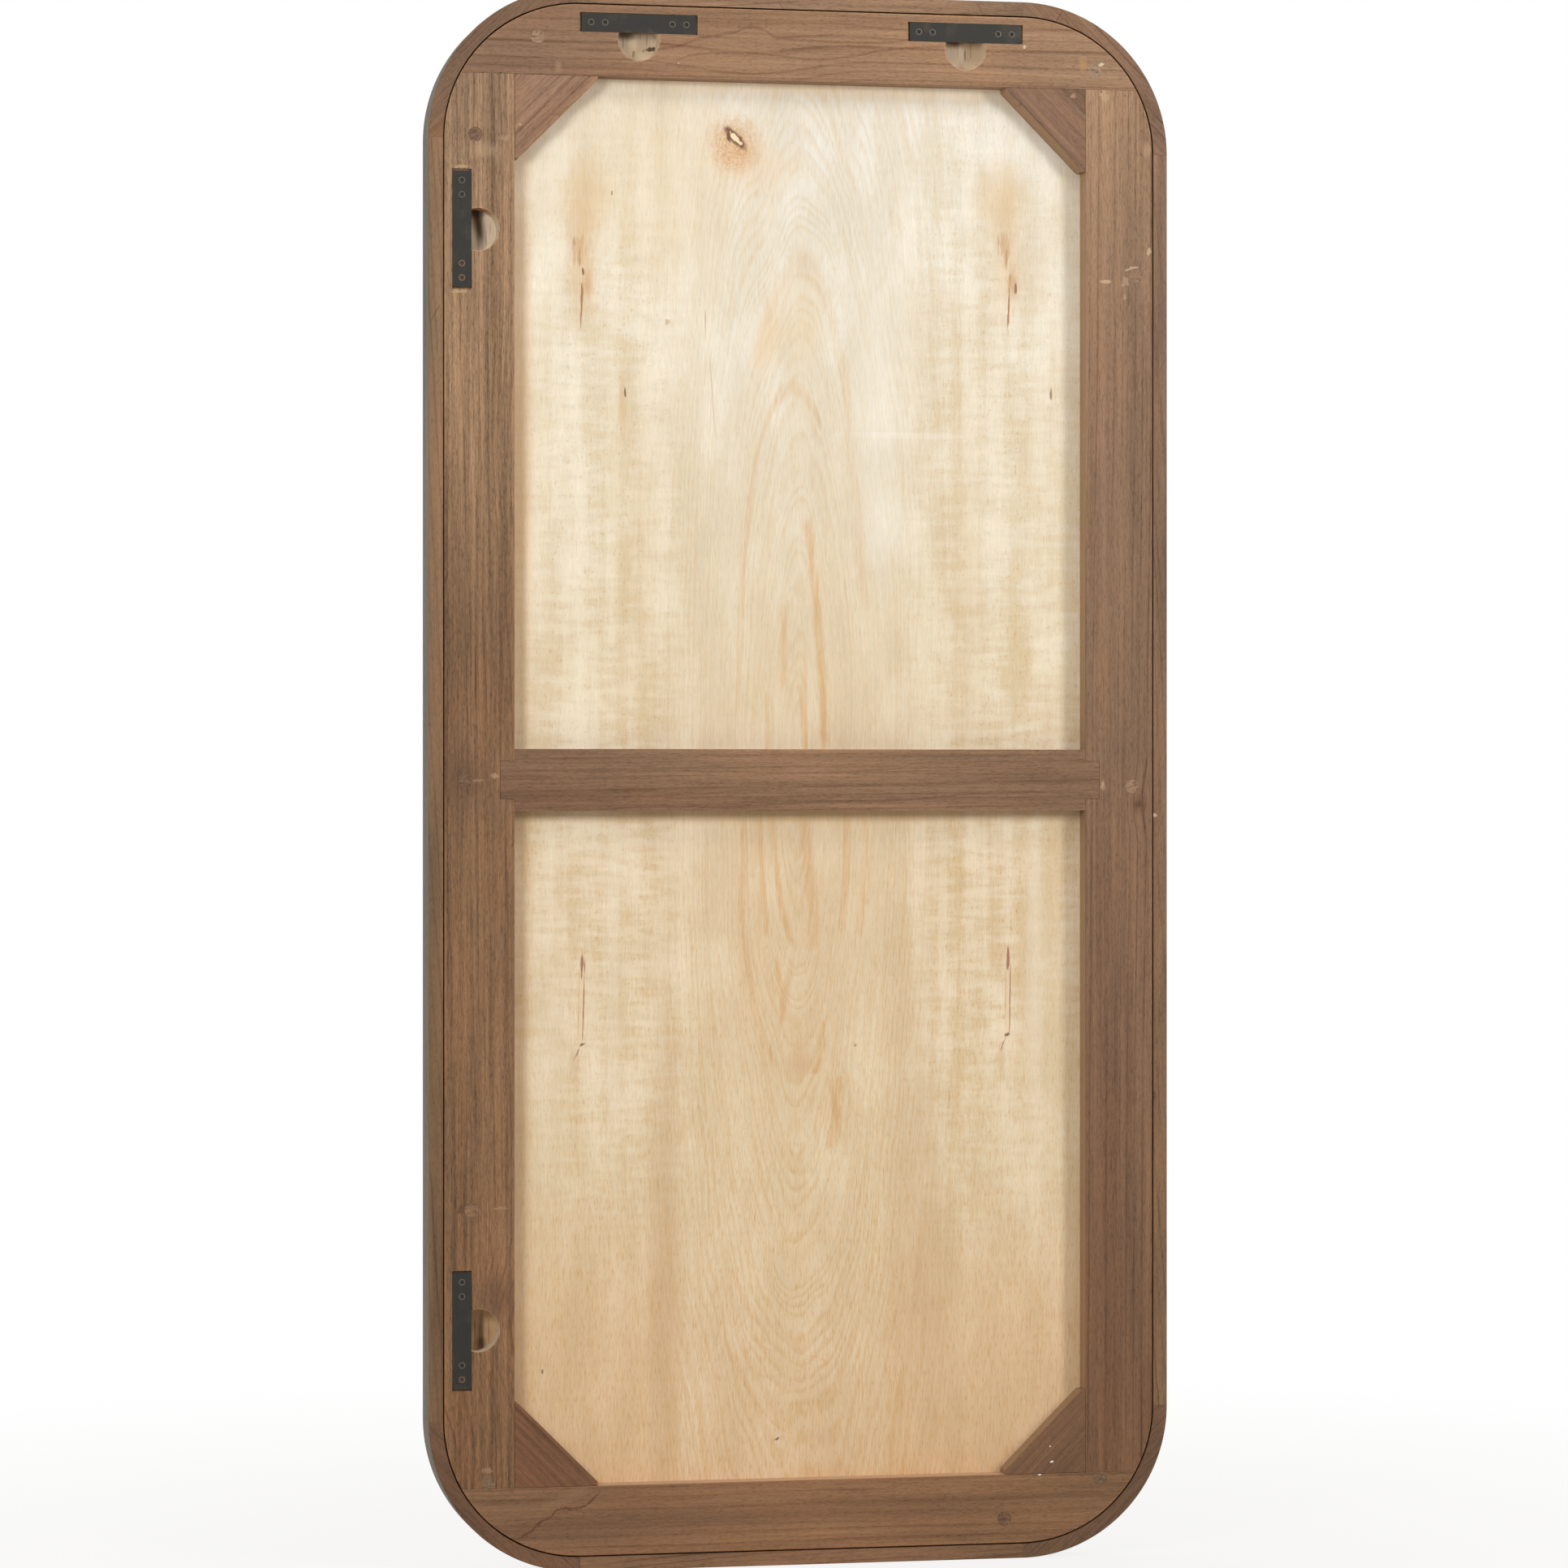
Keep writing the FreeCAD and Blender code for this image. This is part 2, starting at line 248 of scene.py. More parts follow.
class Graph:
    """Node tree of one material or of the surroundings, with object coordinates at hand."""

    seed_steps: Triple = (1.7, 3.1, 5.3)

    def __init__(self, owner: Union[bpy.types.Material, bpy.types.World], seed: float = 0.0) -> None:
        """Start with an empty tree.

        Args:
            owner: The material or the surroundings.
            seed: Moves every noise pattern, so that no two pieces look alike.
        """
        self.owner = owner
        owner.use_nodes = True
        self.tree = owner.node_tree
        self.tree.nodes.clear()
        self.seed = tuple(seed * step for step in self.seed_steps)

    @cached_property
    def point(self) -> Field:
        """Object coordinates."""
        return self.field("ShaderNodeTexCoord", output="Object")

    @cached_property
    def axes(self) -> tuple[Field, Field, Field]:
        """Object coordinates as three values."""
        return self.parts(self.point)

    @property
    def x(self) -> Field:
        """Place along X."""
        return self.axes[0]

    @property
    def y(self) -> Field:
        """Place along Y."""
        return self.axes[1]

    @property
    def z(self) -> Field:
        """Place along Z."""
        return self.axes[2]

    def node(
        self, kind: str, settings: Optional[dict] = None, inputs: Optional[dict] = None,
    ) -> bpy.types.Node:
        """Add any node.

        Args:
            kind: The node's type.
            settings: Its properties, set first. "stops" fills a colour ramp and "points" a curve.
            inputs: Values or Fields by socket name or number.

        Returns:
            The new node.
        """
        made = self.tree.nodes.new(kind)
        for name, value in (settings or {}).items():
            if name == "stops":
                self._fill_ramp(made.color_ramp, value)
            elif name == "points":
                self._fill_curve(made.mapping, value)
            else:
                setattr(made, name, value)
        for key, value in (inputs or {}).items():
            if isinstance(value, Field):
                self.tree.links.new(value.socket, made.inputs[key])
            else:
                made.inputs[key].default_value = value
        return made

    @staticmethod
    def _fill_ramp(ramp: bpy.types.ColorRamp, stops: list[tuple[float, tuple[float, ...]]]) -> None:
        """Set a colour ramp's stops.

        Args:
            ramp: The ramp.
            stops: Places and colours, from the lowest to the highest.
        """
        while len(ramp.elements) < len(stops):
            ramp.elements.new(1.0)
        for element, (place, colour) in zip(ramp.elements, stops):
            element.position = place
            element.color = colour

    @staticmethod
    def _fill_curve(mapping: bpy.types.CurveMapping, points: list[tuple[float, float]]) -> None:
        """Set a curve's points.

        Args:
            mapping: The curve's mapping.
            points: Its points, from the lowest to the highest.
        """
        curve = mapping.curves[0]
        while len(curve.points) < len(points):
            curve.points.new(1.0, 1.0)
        for point, place in zip(curve.points, points):
            point.location = place
        mapping.update()

    def field(
        self, kind: str, settings: Optional[dict] = None, inputs: Optional[dict] = None,
        output: Union[int, str] = 0,
    ) -> Field:
        """Add a node and take one of its outputs as a Field."""
        return Field(self, self.node(kind, settings, inputs).outputs[output])

    def math(self, operation: str, *terms: Term) -> Field:
        """Add one Math node."""
        return self.field("ShaderNodeMath", {"operation": operation}, dict(enumerate(terms)))

    def parts(self, vector: Field) -> tuple[Field, Field, Field]:
        """Split a vector into its three values."""
        split = self.node("ShaderNodeSeparateXYZ", inputs={0: vector})
        return tuple(Field(self, output) for output in split.outputs)

    def vector(self, operation: str, *terms: Union[Field, Triple]) -> Field:
        """Add one Vector Math node."""
        return self.field("ShaderNodeVectorMath", {"operation": operation}, dict(enumerate(terms)))

    def dot(self, vector: Field, direction: Triple) -> Field:
        """Length of a vector along a direction."""
        return self.field(
            "ShaderNodeVectorMath", {"operation": "DOT_PRODUCT"}, {0: vector, 1: direction}, output="Value")

    def turned(self, degrees: float) -> Field:
        """Object coordinates turned about Y, so that X runs along a direction in the back plane."""
        angle = (0.0, math.radians(degrees), 0.0)
        return self.field("ShaderNodeMapping", inputs={"Vector": self.point, "Rotation": angle})

    def noise(self, point: Field, stretch: Triple, detail: float = 2.0) -> Field:
        """Noise from 0 to 1.

        Args:
            point: Where to read it.
            stretch: Waves per metre along each axis.
            detail: Finer layers added.

        Returns:
            The noise, centred on a half.
        """
        vector = self.vector("MULTIPLY_ADD", point, stretch, self.seed)
        return self.field("ShaderNodeTexNoise", inputs={"Vector": vector, "Scale": 1.0, "Detail": detail})

    def wave(self, value: Field, scale: float, detail: float = 2.0) -> Field:
        """Noise from 0 to 1 along one value."""
        inputs = {"W": value + self.seed[0], "Scale": scale, "Detail": detail}
        return self.field("ShaderNodeTexNoise", {"noise_dimensions": "1D"}, inputs)

    def chance(self, value: Field) -> Field:
        """Unrelated number from 0 to 1 for each value."""
        return self.field("ShaderNodeTexWhiteNoise", {"noise_dimensions": "1D"}, {"W": value + self.seed[1]})

    def ramp(self, value: Field, tones: Tones) -> Field:
        """Colour along a value.

        Args:
            value: The value.
            tones: Places and shades, from the lowest to the highest.

        Returns:
            The colour.
        """
        low, high = tones[0][0], tones[-1][0]
        share = (value - low) / (high - low)
        stops = [((place - low) / (high - low), linear(shade)) for place, shade in tones]
        return self.field("ShaderNodeValToRGB", {"stops": stops}, {0: share})

    def mix(self, share: Term, first: Union[Field, tuple], second: Union[Field, tuple]) -> Field:
        """Colour between two others."""
        return self.field("ShaderNodeMix", {"data_type": "RGBA"}, {0: share, 6: first, 7: second}, output=2)

    def tint(self, colour: Field, share: Term, parts: Triple) -> Field:
        """Colour multiplied by a tint of three parts of 1, as far as the share says."""
        settings = {"data_type": "RGBA", "blend_type": "MULTIPLY"}
        return self.field("ShaderNodeMix", settings, {0: share, 6: colour, 7: (*parts, 1.0)}, output=2)

    def scaled(self, colour: Field, factor: Field) -> Field:
        """Colour made lighter or darker by a factor."""
        return self.field("ShaderNodeVectorMath", {"operation": "SCALE"}, {0: colour, 3: factor})

    def bump(self, height: Field, distance: float) -> Field:
        """Normal of a relief that is so many metres high."""
        return self.field("ShaderNodeBump", inputs={"Strength": 1.0, "Distance": distance, "Height": height})

    def close(self, shader: Field) -> None:
        """Lead a shader to the output."""
        kind = "World" if isinstance(self.owner, bpy.types.World) else "Material"
        self.node(f"ShaderNodeOutput{kind}", inputs={"Surface": shader})

    def principled(self, inputs: dict) -> bpy.types.Material:
        """Finish the material with one Principled shader, by its sockets."""
        self.close(self.field("ShaderNodeBsdfPrincipled", inputs=inputs))
        return self.owner


class Layer(Enum):
    """Layers of noise, by their waves per metre along each axis and the finer layers added.

    X runs along the grain in the layers of the brown wood. The veneer's grain runs along Z.
    """

    STREAK = ((1.6, 46.0, 46.0), 3.0)
    COMB = ((4.0, 290.0, 290.0), 2.0)
    FIBRE = ((45.0, 900.0, 900.0), 2.0)
    PORE = ((170.0, 1500.0, 1500.0), 1.0)
    FLECK = ((90.0, 1200.0, 1200.0), 1.0)
    MOTTLE = ((6.0, 22.0, 22.0), 3.0)
    SWING = ((2.2, 5.0, 5.0), 2.0)
    BREAK = ((14.0, 160.0, 160.0), 2.0)
    GRIT = ((330.0, 330.0, 330.0), 2.0)
    KNOT_SHAKE = ((190.0, 190.0, 190.0), 2.0)
    VENEER_SWAY = ((11.0, 1.0, 3.0), 2.0)
    VENEER_SHAKE = ((60.0, 1.0, 11.0), 2.0)
    VENEER_GRIT = ((420.0, 420.0, 60.0), 2.0)
    VENEER_BREAK = ((260.0, 1.0, 13.0), 2.0)
    VENEER_FIBRE = ((900.0, 900.0, 60.0), 2.0)
    VENEER_PORE = ((1100.0, 1100.0, 105.0), 1.0)
    VENEER_MOTTLE = ((24.0, 24.0, 9.0), 4.0)
    VENEER_STRIP = ((46.0, 46.0, 1.6), 2.0)
    VENEER_RIPPLE = ((30.0, 30.0, 120.0), 3.0)
    VENEER_STROKE = ((520.0, 520.0, 55.0), 2.0)
    VENEER_SPECK = ((380.0, 380.0, 240.0), 1.0)
    STEEL_PATCH = ((45.0, 45.0, 45.0), 3.0)
    STEEL_SCRATCH = ((30.0, 1500.0, 1500.0), 1.0)
    STEEL_SPECK = ((700.0, 700.0, 700.0), 1.0)
    SCREW_PATCH = ((900.0, 900.0, 900.0), 2.0)
    FILLER_CRUMB = ((520.0, 520.0, 520.0), 3.0)
    FILLER_STROKE = ((240.0, 240.0, 620.0), 2.0)
    GLASS_HAZE = ((3.0, 3.0, 3.0), 3.0)

    def read(self, graph: Graph, point: Optional[Field] = None) -> Field:
        """Noise from 0 to 1, at the object's own coordinates unless a point is given."""
        stretch, detail = self.value
        return graph.noise(point or graph.point, stretch, detail)


class Border(Enum):
    """How the edge of a mark runs out: its softness and its raggedness."""

    CLEAN = (0.25, 0.0)
    RAGGED = (0.3, 1.3)
    SOFT = (0.8, 0.35)


@dataclass(frozen=True)
class Patch:
    """An oval on the back of the object, by its centre and axes in pixels of the photograph."""

    at: Pixel
    size: Pixel
    turn: float = 0.0

    def reach(self, graph: Graph, depth: float) -> Field:
        """Distance from the centre, 1 on the oval: the root of (p / a) squared plus (q / b) squared.

        Args:
            graph: The material's nodes.
            depth: The y of the surface that carries the patch.

        Returns:
            The distance. The turn is anticlockwise as seen from behind.
        """
        x, z = VIEW.on_plane(self.at, depth)
        half_long, half_wide = (VIEW.span(side) / 2 for side in self.size)
        if not self.turn:
            scale, shift = (1 / half_long, 0.0, 1 / half_wide), (-x / half_long, 0.0, -z / half_wide)
            local = graph.vector("MULTIPLY_ADD", graph.point, scale, shift)
        else:
            cosine, sine = math.cos(math.radians(self.turn)), math.sin(math.radians(self.turn))
            long = (cosine / half_long, 0.0, -sine / half_long)
            wide = (sine / half_wide, 0.0, cosine / half_wide)
            p = graph.dot(graph.point, long) - (long[0] * x + long[2] * z)
            q = graph.dot(graph.point, wide) - (wide[0] * x + wide[2] * z)
            local = graph.field("ShaderNodeCombineXYZ", inputs={0: p, 2: q})
        return graph.field("ShaderNodeVectorMath", {"operation": "LENGTH"}, {0: local}, output="Value")


@dataclass(frozen=True)
class Bow(Patch):
    """A place where the growth lines swing round a knot or a fork, by so many metres."""

    lift: float = 0.01

    def push(self, graph: Graph, depth: float) -> Field:
        """Offset of the growth lines, largest at the centre."""
        return self.reach(graph, depth).rise(0.0, 1.0, self.lift, 0.0)


@dataclass(frozen=True)
class Mark(Patch):
    """A smear, stain, fleck or scratch on a surface; some marks are painted shade, painted shadows or painted
    light instead.
    """

    shade: Triple = (200.0, 170.0, 135.0)
    strength: float = 0.7
    border: Border = Border.RAGGED

    def over(
        self, graph: Graph, colour: Field, depth: float, grit: Field, near: Optional[Field] = None,
    ) -> Field:
        """Lay the mark over a colour.

        Args:
            graph: The material's nodes.
            colour: The colour below.
            depth: The y of the surface.
            grit: Fine noise about zero that breaks up a ragged border.
            near: Share of the mark that shows, 0 where the surface turns away.

        Returns:
            The colour with the mark.
        """
        softness, raggedness = self.border.value
        reach = self.reach(graph, depth)
        if raggedness:
            reach = reach + grit * raggedness
        share = reach.rise(1.0 - softness, 1.0 + softness, self.strength, 0.0)
        return graph.mix(share if near is None else share * near, colour, linear(self.shade))


@dataclass(frozen=True)
class Vein:
    """One growth line through a few pixels of the photograph, one after the other along x or along z."""

    route: tuple[Pixel, ...]
    width: float = 1.6 * MM
    strength: float = 0.5
    jag: float = 1.5 * MM
    tint: Triple = (0.52, 0.43, 0.37)
    fade: float = 0.08
    core: float = 0.2

    def over(self, graph: Graph, colour: Field, depth: float, grit: Field, breaks: Term = 1.0) -> Field:
        """Tint a colour along the line: by 1 less the offset from a smooth curve over the line's width.

        Args:
            graph: The material's nodes.
            colour: The colour below.
            depth: The y of the surface.
            grit: Fine noise about zero that shakes the line.
            breaks: How much of the line shows.

        Returns:
            The colour with the line, which fades at both ends.
        """
        points = np.array([VIEW.on_plane(pixel, depth) for pixel in self.route])
        low, span = points.min(0), np.ptp(points, axis=0)
        long = int(abs(points[-1] - points[0]).argmax())
        points = points[np.argsort(points[:, long])]
        shares = (points - low) / span
        along, across = (graph.x, graph.z) if long == 0 else (graph.z, graph.x)
        share = (along - float(low[long])) / float(span[long])
        curve = graph.field(
            "ShaderNodeFloatCurve", {"points": [(row[long], row[1 - long]) for row in shares.tolist()]},
            {"Value": share})
        offset = curve * float(span[1 - long]) + float(low[1 - long]) - across + grit * self.jag
        ends = share.rise(0.0, self.fade) * share.rise(1.0 - self.fade, 1.0, 1.0, 0.0)
        mask = abs(offset).rise(self.core * self.width, self.width, self.strength, 0.0) * ends * breaks
        return graph.tint(colour, mask, self.tint)


@dataclass(frozen=True)
class Knot(Patch):
    """A knot in pale wood: a light core in a dark outline, with a warm halo of growth rings round it."""

    halo: Patch = Patch((0.0, 0.0), (1.0, 1.0))
    core_shade: Triple = (240.0, 218.0, 184.0)
    line_shade: Triple = (112.0, 72.0, 42.0)
    halo_tint: Triple = (0.89, 0.7, 0.54)
    ring_tint: Triple = (0.86, 0.74, 0.6)
    ring_count: float = 7.0

    def over(self, graph: Graph, colour: Field, depth: float) -> Field:
        """Lay the knot over a colour. The rings follow the distance from the halo's centre, shaken by noise.

        Args:
            graph: The material's nodes.
            colour: The colour below.
            depth: The y of the surface.

        Returns:
            The colour with the knot.
        """
        shake = Layer.KNOT_SHAKE.read(graph) - 0.5
        rings = self.halo.reach(graph, depth) + shake * 0.5
        glow = rings.rise(0.25, 1.1, 1.0, 0.0)
        phase = (rings * self.ring_count).fract()
        colour = graph.tint(colour, glow * 0.9, self.halo_tint)
        ring = glow * phase.rise(0.4, 0.9) * phase.rise(0.9, 1.0, 1.0, 0.0)
        colour = graph.tint(colour, ring, self.ring_tint)
        core = self.reach(graph, depth) + shake * 1.3
        colour = graph.mix(core.rise(1.05, 2.3, 0.95, 0.0), colour, linear(self.line_shade))
        return graph.mix(core.rise(0.8, 1.1, 1.0, 0.0), colour, linear(self.core_shade))


@dataclass(frozen=True)
class Grain:
    """Pattern of one kind of cut through the brown wood. Depths are shares of the colour."""

    gap: float = 9.5 * MM
    sway: float = 9.0 * MM
    drift: float = 0.0
    line: float = 0.8
    onset: float = 0.6
    streak: float = 0.8
    comb: float = 0.75
    fibre: float = 0.5
    pore: float = 0.2
    fleck: float = 0.1
    mottle: float = 0.4


@dataclass(frozen=True)
class BrownWood:
    """Open-pored brown hardwood with dark growth lines, oiled and rubbed down to a low sheen, with painted
    highlights and painted light on some edges and walls.
    """

    seed: float
    turn: float
    tones: Tones
    upright: bool = False
    grain: Grain = Grain()
    bows: tuple[Bow, ...] = ()
    veins: tuple[Vein, ...] = ()
    marks: tuple[Mark, ...] = ()
    seams: tuple[float, ...] = ()
    bores: tuple[tuple[float, float], ...] = ()
    outline: Optional[Triple] = None
    depth: float = 0.0
    bore_radius: float = 22.5 * MM
    bore_wood_and_light_shade: Triple = (238.0, 222.0, 194.0)
    bare_and_lit_wall_shade: Optional[Triple] = None
    bare_and_lit_wall_share: float = 0.65
    pale_wall_room: Span = (370.0 * MM, 375.0 * MM)
    pale_wall_depth: Span = (0.8 * MM, 1.8 * MM)
    mark_depth: Span = (-3.0 * MM, -1.2 * MM)
    wear_and_highlight_width: Span = (0.4 * MM, 1.5 * MM)
    wear_and_highlight_depth: Span = (-1.6 * MM, -0.7 * MM)
    wear_and_highlight_jag: float = 0.6 * MM
    wear_and_highlight_share: float = 0.8
    lean: float = 0.35
    crowd_pace: float = 0.28
    crowd: float = 2.2
    faintest: float = 0.25
    arris_width: float = 0.9 * MM
    seam_width: float = 0.55 * MM
    line_end: float = 0.94
    line_tint: Triple = (0.5, 0.4, 0.34)
    warm_tint: Triple = (1.03, 1.0, 0.97)
    dark_tint: Triple = (1.02, 0.98, 0.94)
    seam_tint: Triple = (0.35, 0.28, 0.24)
    wear_and_highlight_tint: Triple = (1.75, 1.65, 1.5)
    bore_edge_wear_and_highlight_tint: Triple = (1.65, 1.6, 1.48)
    wash_shade: Optional[Triple] = None
    wash_depth: float = 2.2 * MM
    wash_edge_shade_tint: Triple = (0.7, 0.66, 0.62)
    roughness: float = 0.58
    relief: float = 0.25 * MM

    def growth(self, graph: Graph, local: Field, along: Field, across: Field, deep: Field) -> Field:
        """Dark late wood of the growth lines.

        The line number is the offset across the board, swung by slow noise and by the bows, over the gap.
        It leans with the depth, and slow noise crowds some lines together. Each line darkens over the last
        part of its gap, from the grain's onset, and ends sharply.

        Args:
            graph: The material's nodes.
            local: Coordinates with X along the grain.
            along: Place along the grain.
            across: Place across the grain in the back plane.
            deep: Place in depth.

        Returns:
            The darkness from 0 to 1.
        """
        grain = self.grain
        swing = (Layer.SWING.read(graph, local) - 0.5) * (2.0 * grain.sway)
        offset = across + swing + deep * self.lean
        if grain.drift:
            offset = offset + along * grain.drift
        for bow in self.bows:
            offset = offset + bow.push(graph, self.depth)
        crowd = (graph.wave(offset, self.crowd_pace / grain.gap, 1.0) - 0.5) * self.crowd
        number = offset / grain.gap + crowd
        phase = number.fract()
        weight = graph.chance(number.floor())
        breaks = Layer.BREAK.read(graph, local).rise(0.32, 0.6, 0.3, 1.0)
        late = phase.rise(grain.onset, self.line_end) * phase.rise(self.line_end, 1.0, 1.0, 0.0)
        return late * (weight * (1.0 - self.faintest) + self.faintest) * breaks

    def material(self, name: str) -> bpy.types.Material:
        """Build the finish.

        Args:
            name: The material's name.

        Returns:
            The material.
        """
        graph = Graph(bpy.data.materials.new(name), self.seed)
        grain = self.grain
        local = graph.turned(self.turn)
        along, deep, across = graph.parts(local)
        streak = Layer.STREAK.read(graph, local)
        comb = Layer.COMB.read(graph, local)
        fibre = Layer.FIBRE.read(graph, local)
        pores = Layer.PORE.read(graph, local).rise(0.56, 0.68)
        flecks = Layer.FLECK.read(graph, local).rise(0.57, 0.7)
        mottle = Layer.MOTTLE.read(graph, local)
        grit = (Layer.GRIT.read(graph) - 0.5) * 2.0
        late = self.growth(graph, local, along, across, deep)
        base = graph.ramp(graph.z if self.upright else graph.x, self.tones)
        if self.wash_shade:
            washed = (graph.y * -1.0 + grit * MM).rise(0.5 * self.wash_depth, 1.5 * self.wash_depth)
            base = graph.mix(washed, base, linear(self.wash_shade))
            # Dark line where the back face turns into the sides: painted shade at the arris.
            edge = abs(graph.y + 1.4 * self.wash_depth).rise(0.3 * self.wash_depth, self.wash_depth, 0.8, 0.0)
            base = graph.tint(base, edge, self.wash_edge_shade_tint)
        factor = (streak - 0.5) * grain.streak + (comb - 0.5) * grain.comb
        factor = factor + (mottle - 0.5) * grain.mottle + 1.0
        factor = factor + (fibre - 0.5) * grain.fibre - pores * grain.pore + flecks * grain.fleck
        colour = graph.scaled(base, factor)
        colour = graph.tint(colour, mottle.rise(0.42, 0.66), self.warm_tint)
        colour = graph.tint(colour, streak.rise(0.3, 0.5, 1.0, 0.0), self.dark_tint)
        colour = graph.tint(colour, late * grain.line, self.line_tint)
        for vein in self.veins:
            colour = vein.over(graph, colour, self.depth, grit)
        for seam in self.seams:
            colour = self._seam(graph, colour, seam)
        for bore in self.bores:
            colour = self._bore(graph, colour, bore)
        # Pale arris round the outline: partly wear, partly a painted highlight.
        if self.outline:
            colour = self._wear_and_highlight(graph, colour, grit)
        # Pale inner walls: partly bare cut wood, partly painted light on walls that face the lamps.
        if self.bare_and_lit_wall_shade:
            wall = (graph.y * -1.0).rise(*self.pale_wall_depth, 0.0, self.bare_and_lit_wall_share)
            wall = wall * abs(graph.x).rise(*self.pale_wall_room, 1.0, 0.0)
            colour = graph.mix(wall, colour, linear(self.bare_and_lit_wall_shade))
        near = graph.y.rise(*self.mark_depth)
        for mark in self.marks:
            colour = mark.over(graph, colour, self.depth, grit, near)
        height = fibre * 0.5 - pores * 0.6 - late * 0.3 + streak * 0.3
        return graph.principled({
            "Base Color": colour, "Roughness": (streak - 0.5) * 0.25 + pores * 0.12 + self.roughness,
            "Specular IOR Level": WOOD_GLOSS, "Normal": graph.bump(height, self.relief)})

    def _seam(self, graph: Graph, colour: Field, place: float) -> Field:
        """Draw a dark glue line across the grain, on both ends of a length.

        Args:
            graph: The material's nodes.
            colour: The colour below.
            place: The ends' distance from the middle.

        Returns:
            The colour with the line.
        """
        axis = graph.z if self.upright else graph.x
        line = abs(abs(axis) - place).rise(0.0, self.seam_width, 0.75, 0.0)
        return graph.tint(colour, line, self.seam_tint)

    def _wear_and_highlight(self, graph: Graph, colour: Field, grit: Field) -> Field:
        """Pale arris along a rounded outline: partly wear, partly a painted highlight where the edge catches
        light.

        The distance from the outline is the corner's radius less the length of what |x| and |z| have over the
        straight sides' ends.

        Args:
            graph: The material's nodes.
            colour: The colour below.
            grit: Fine noise about zero that breaks the arris up.

        Returns:
            The colour with the arris.
        """
        half_x, half_z, radius = self.outline
        right = (abs(graph.x) - (half_x - radius)).larger(0.0)
        up = (abs(graph.z) - (half_z - radius)).larger(0.0)
        inside = (right * right + up * up).root() * -1.0 + radius
        arris = (inside + grit * self.wear_and_highlight_jag).rise(*self.wear_and_highlight_width, self.wear_and_highlight_share, 0.0)
        return graph.tint(colour, arris * graph.y.rise(*self.wear_and_highlight_depth), self.wear_and_highlight_tint)

    def _bore(self, graph: Graph, colour: Field, centre: tuple[float, float]) -> Field:
        """Draw the pale edge round a bored recess, at its radius from the centre, partly wear and partly a
        painted highlight, and its pale cut wall, which is pale only on one side as painted light.

        Args:
            graph: The material's nodes.
            colour: The colour below.
            centre: The recess's x and z.

        Returns:
            The colour with the recess.
        """
        right, up = graph.x - centre[0], graph.z - centre[1]
        ring = abs((right * right + up * up).root() - self.bore_radius)
        # Pale ring at the bore's edge: partly wear, partly a painted highlight.
        edge = ring.rise(0.2 * self.arris_width, self.arris_width, 1.0, 0.0)
        colour = graph.tint(colour, edge, self.bore_edge_wear_and_highlight_tint)
        wall = ring.rise(0.1 * MM, 0.4 * MM, 0.8, 0.0) * (graph.y * -1.0).rise(0.6 * MM, 1.6 * MM)
        # Painted light: the cut wall is pale only on the side that faces the lamps.
        lit_side = (right + up * 0.6).rise(-0.6 * self.bore_radius, 0.2 * self.bore_radius, 1.0, 0.0)
        return graph.mix(wall * lit_side, colour, linear(self.bore_wood_and_light_shade))


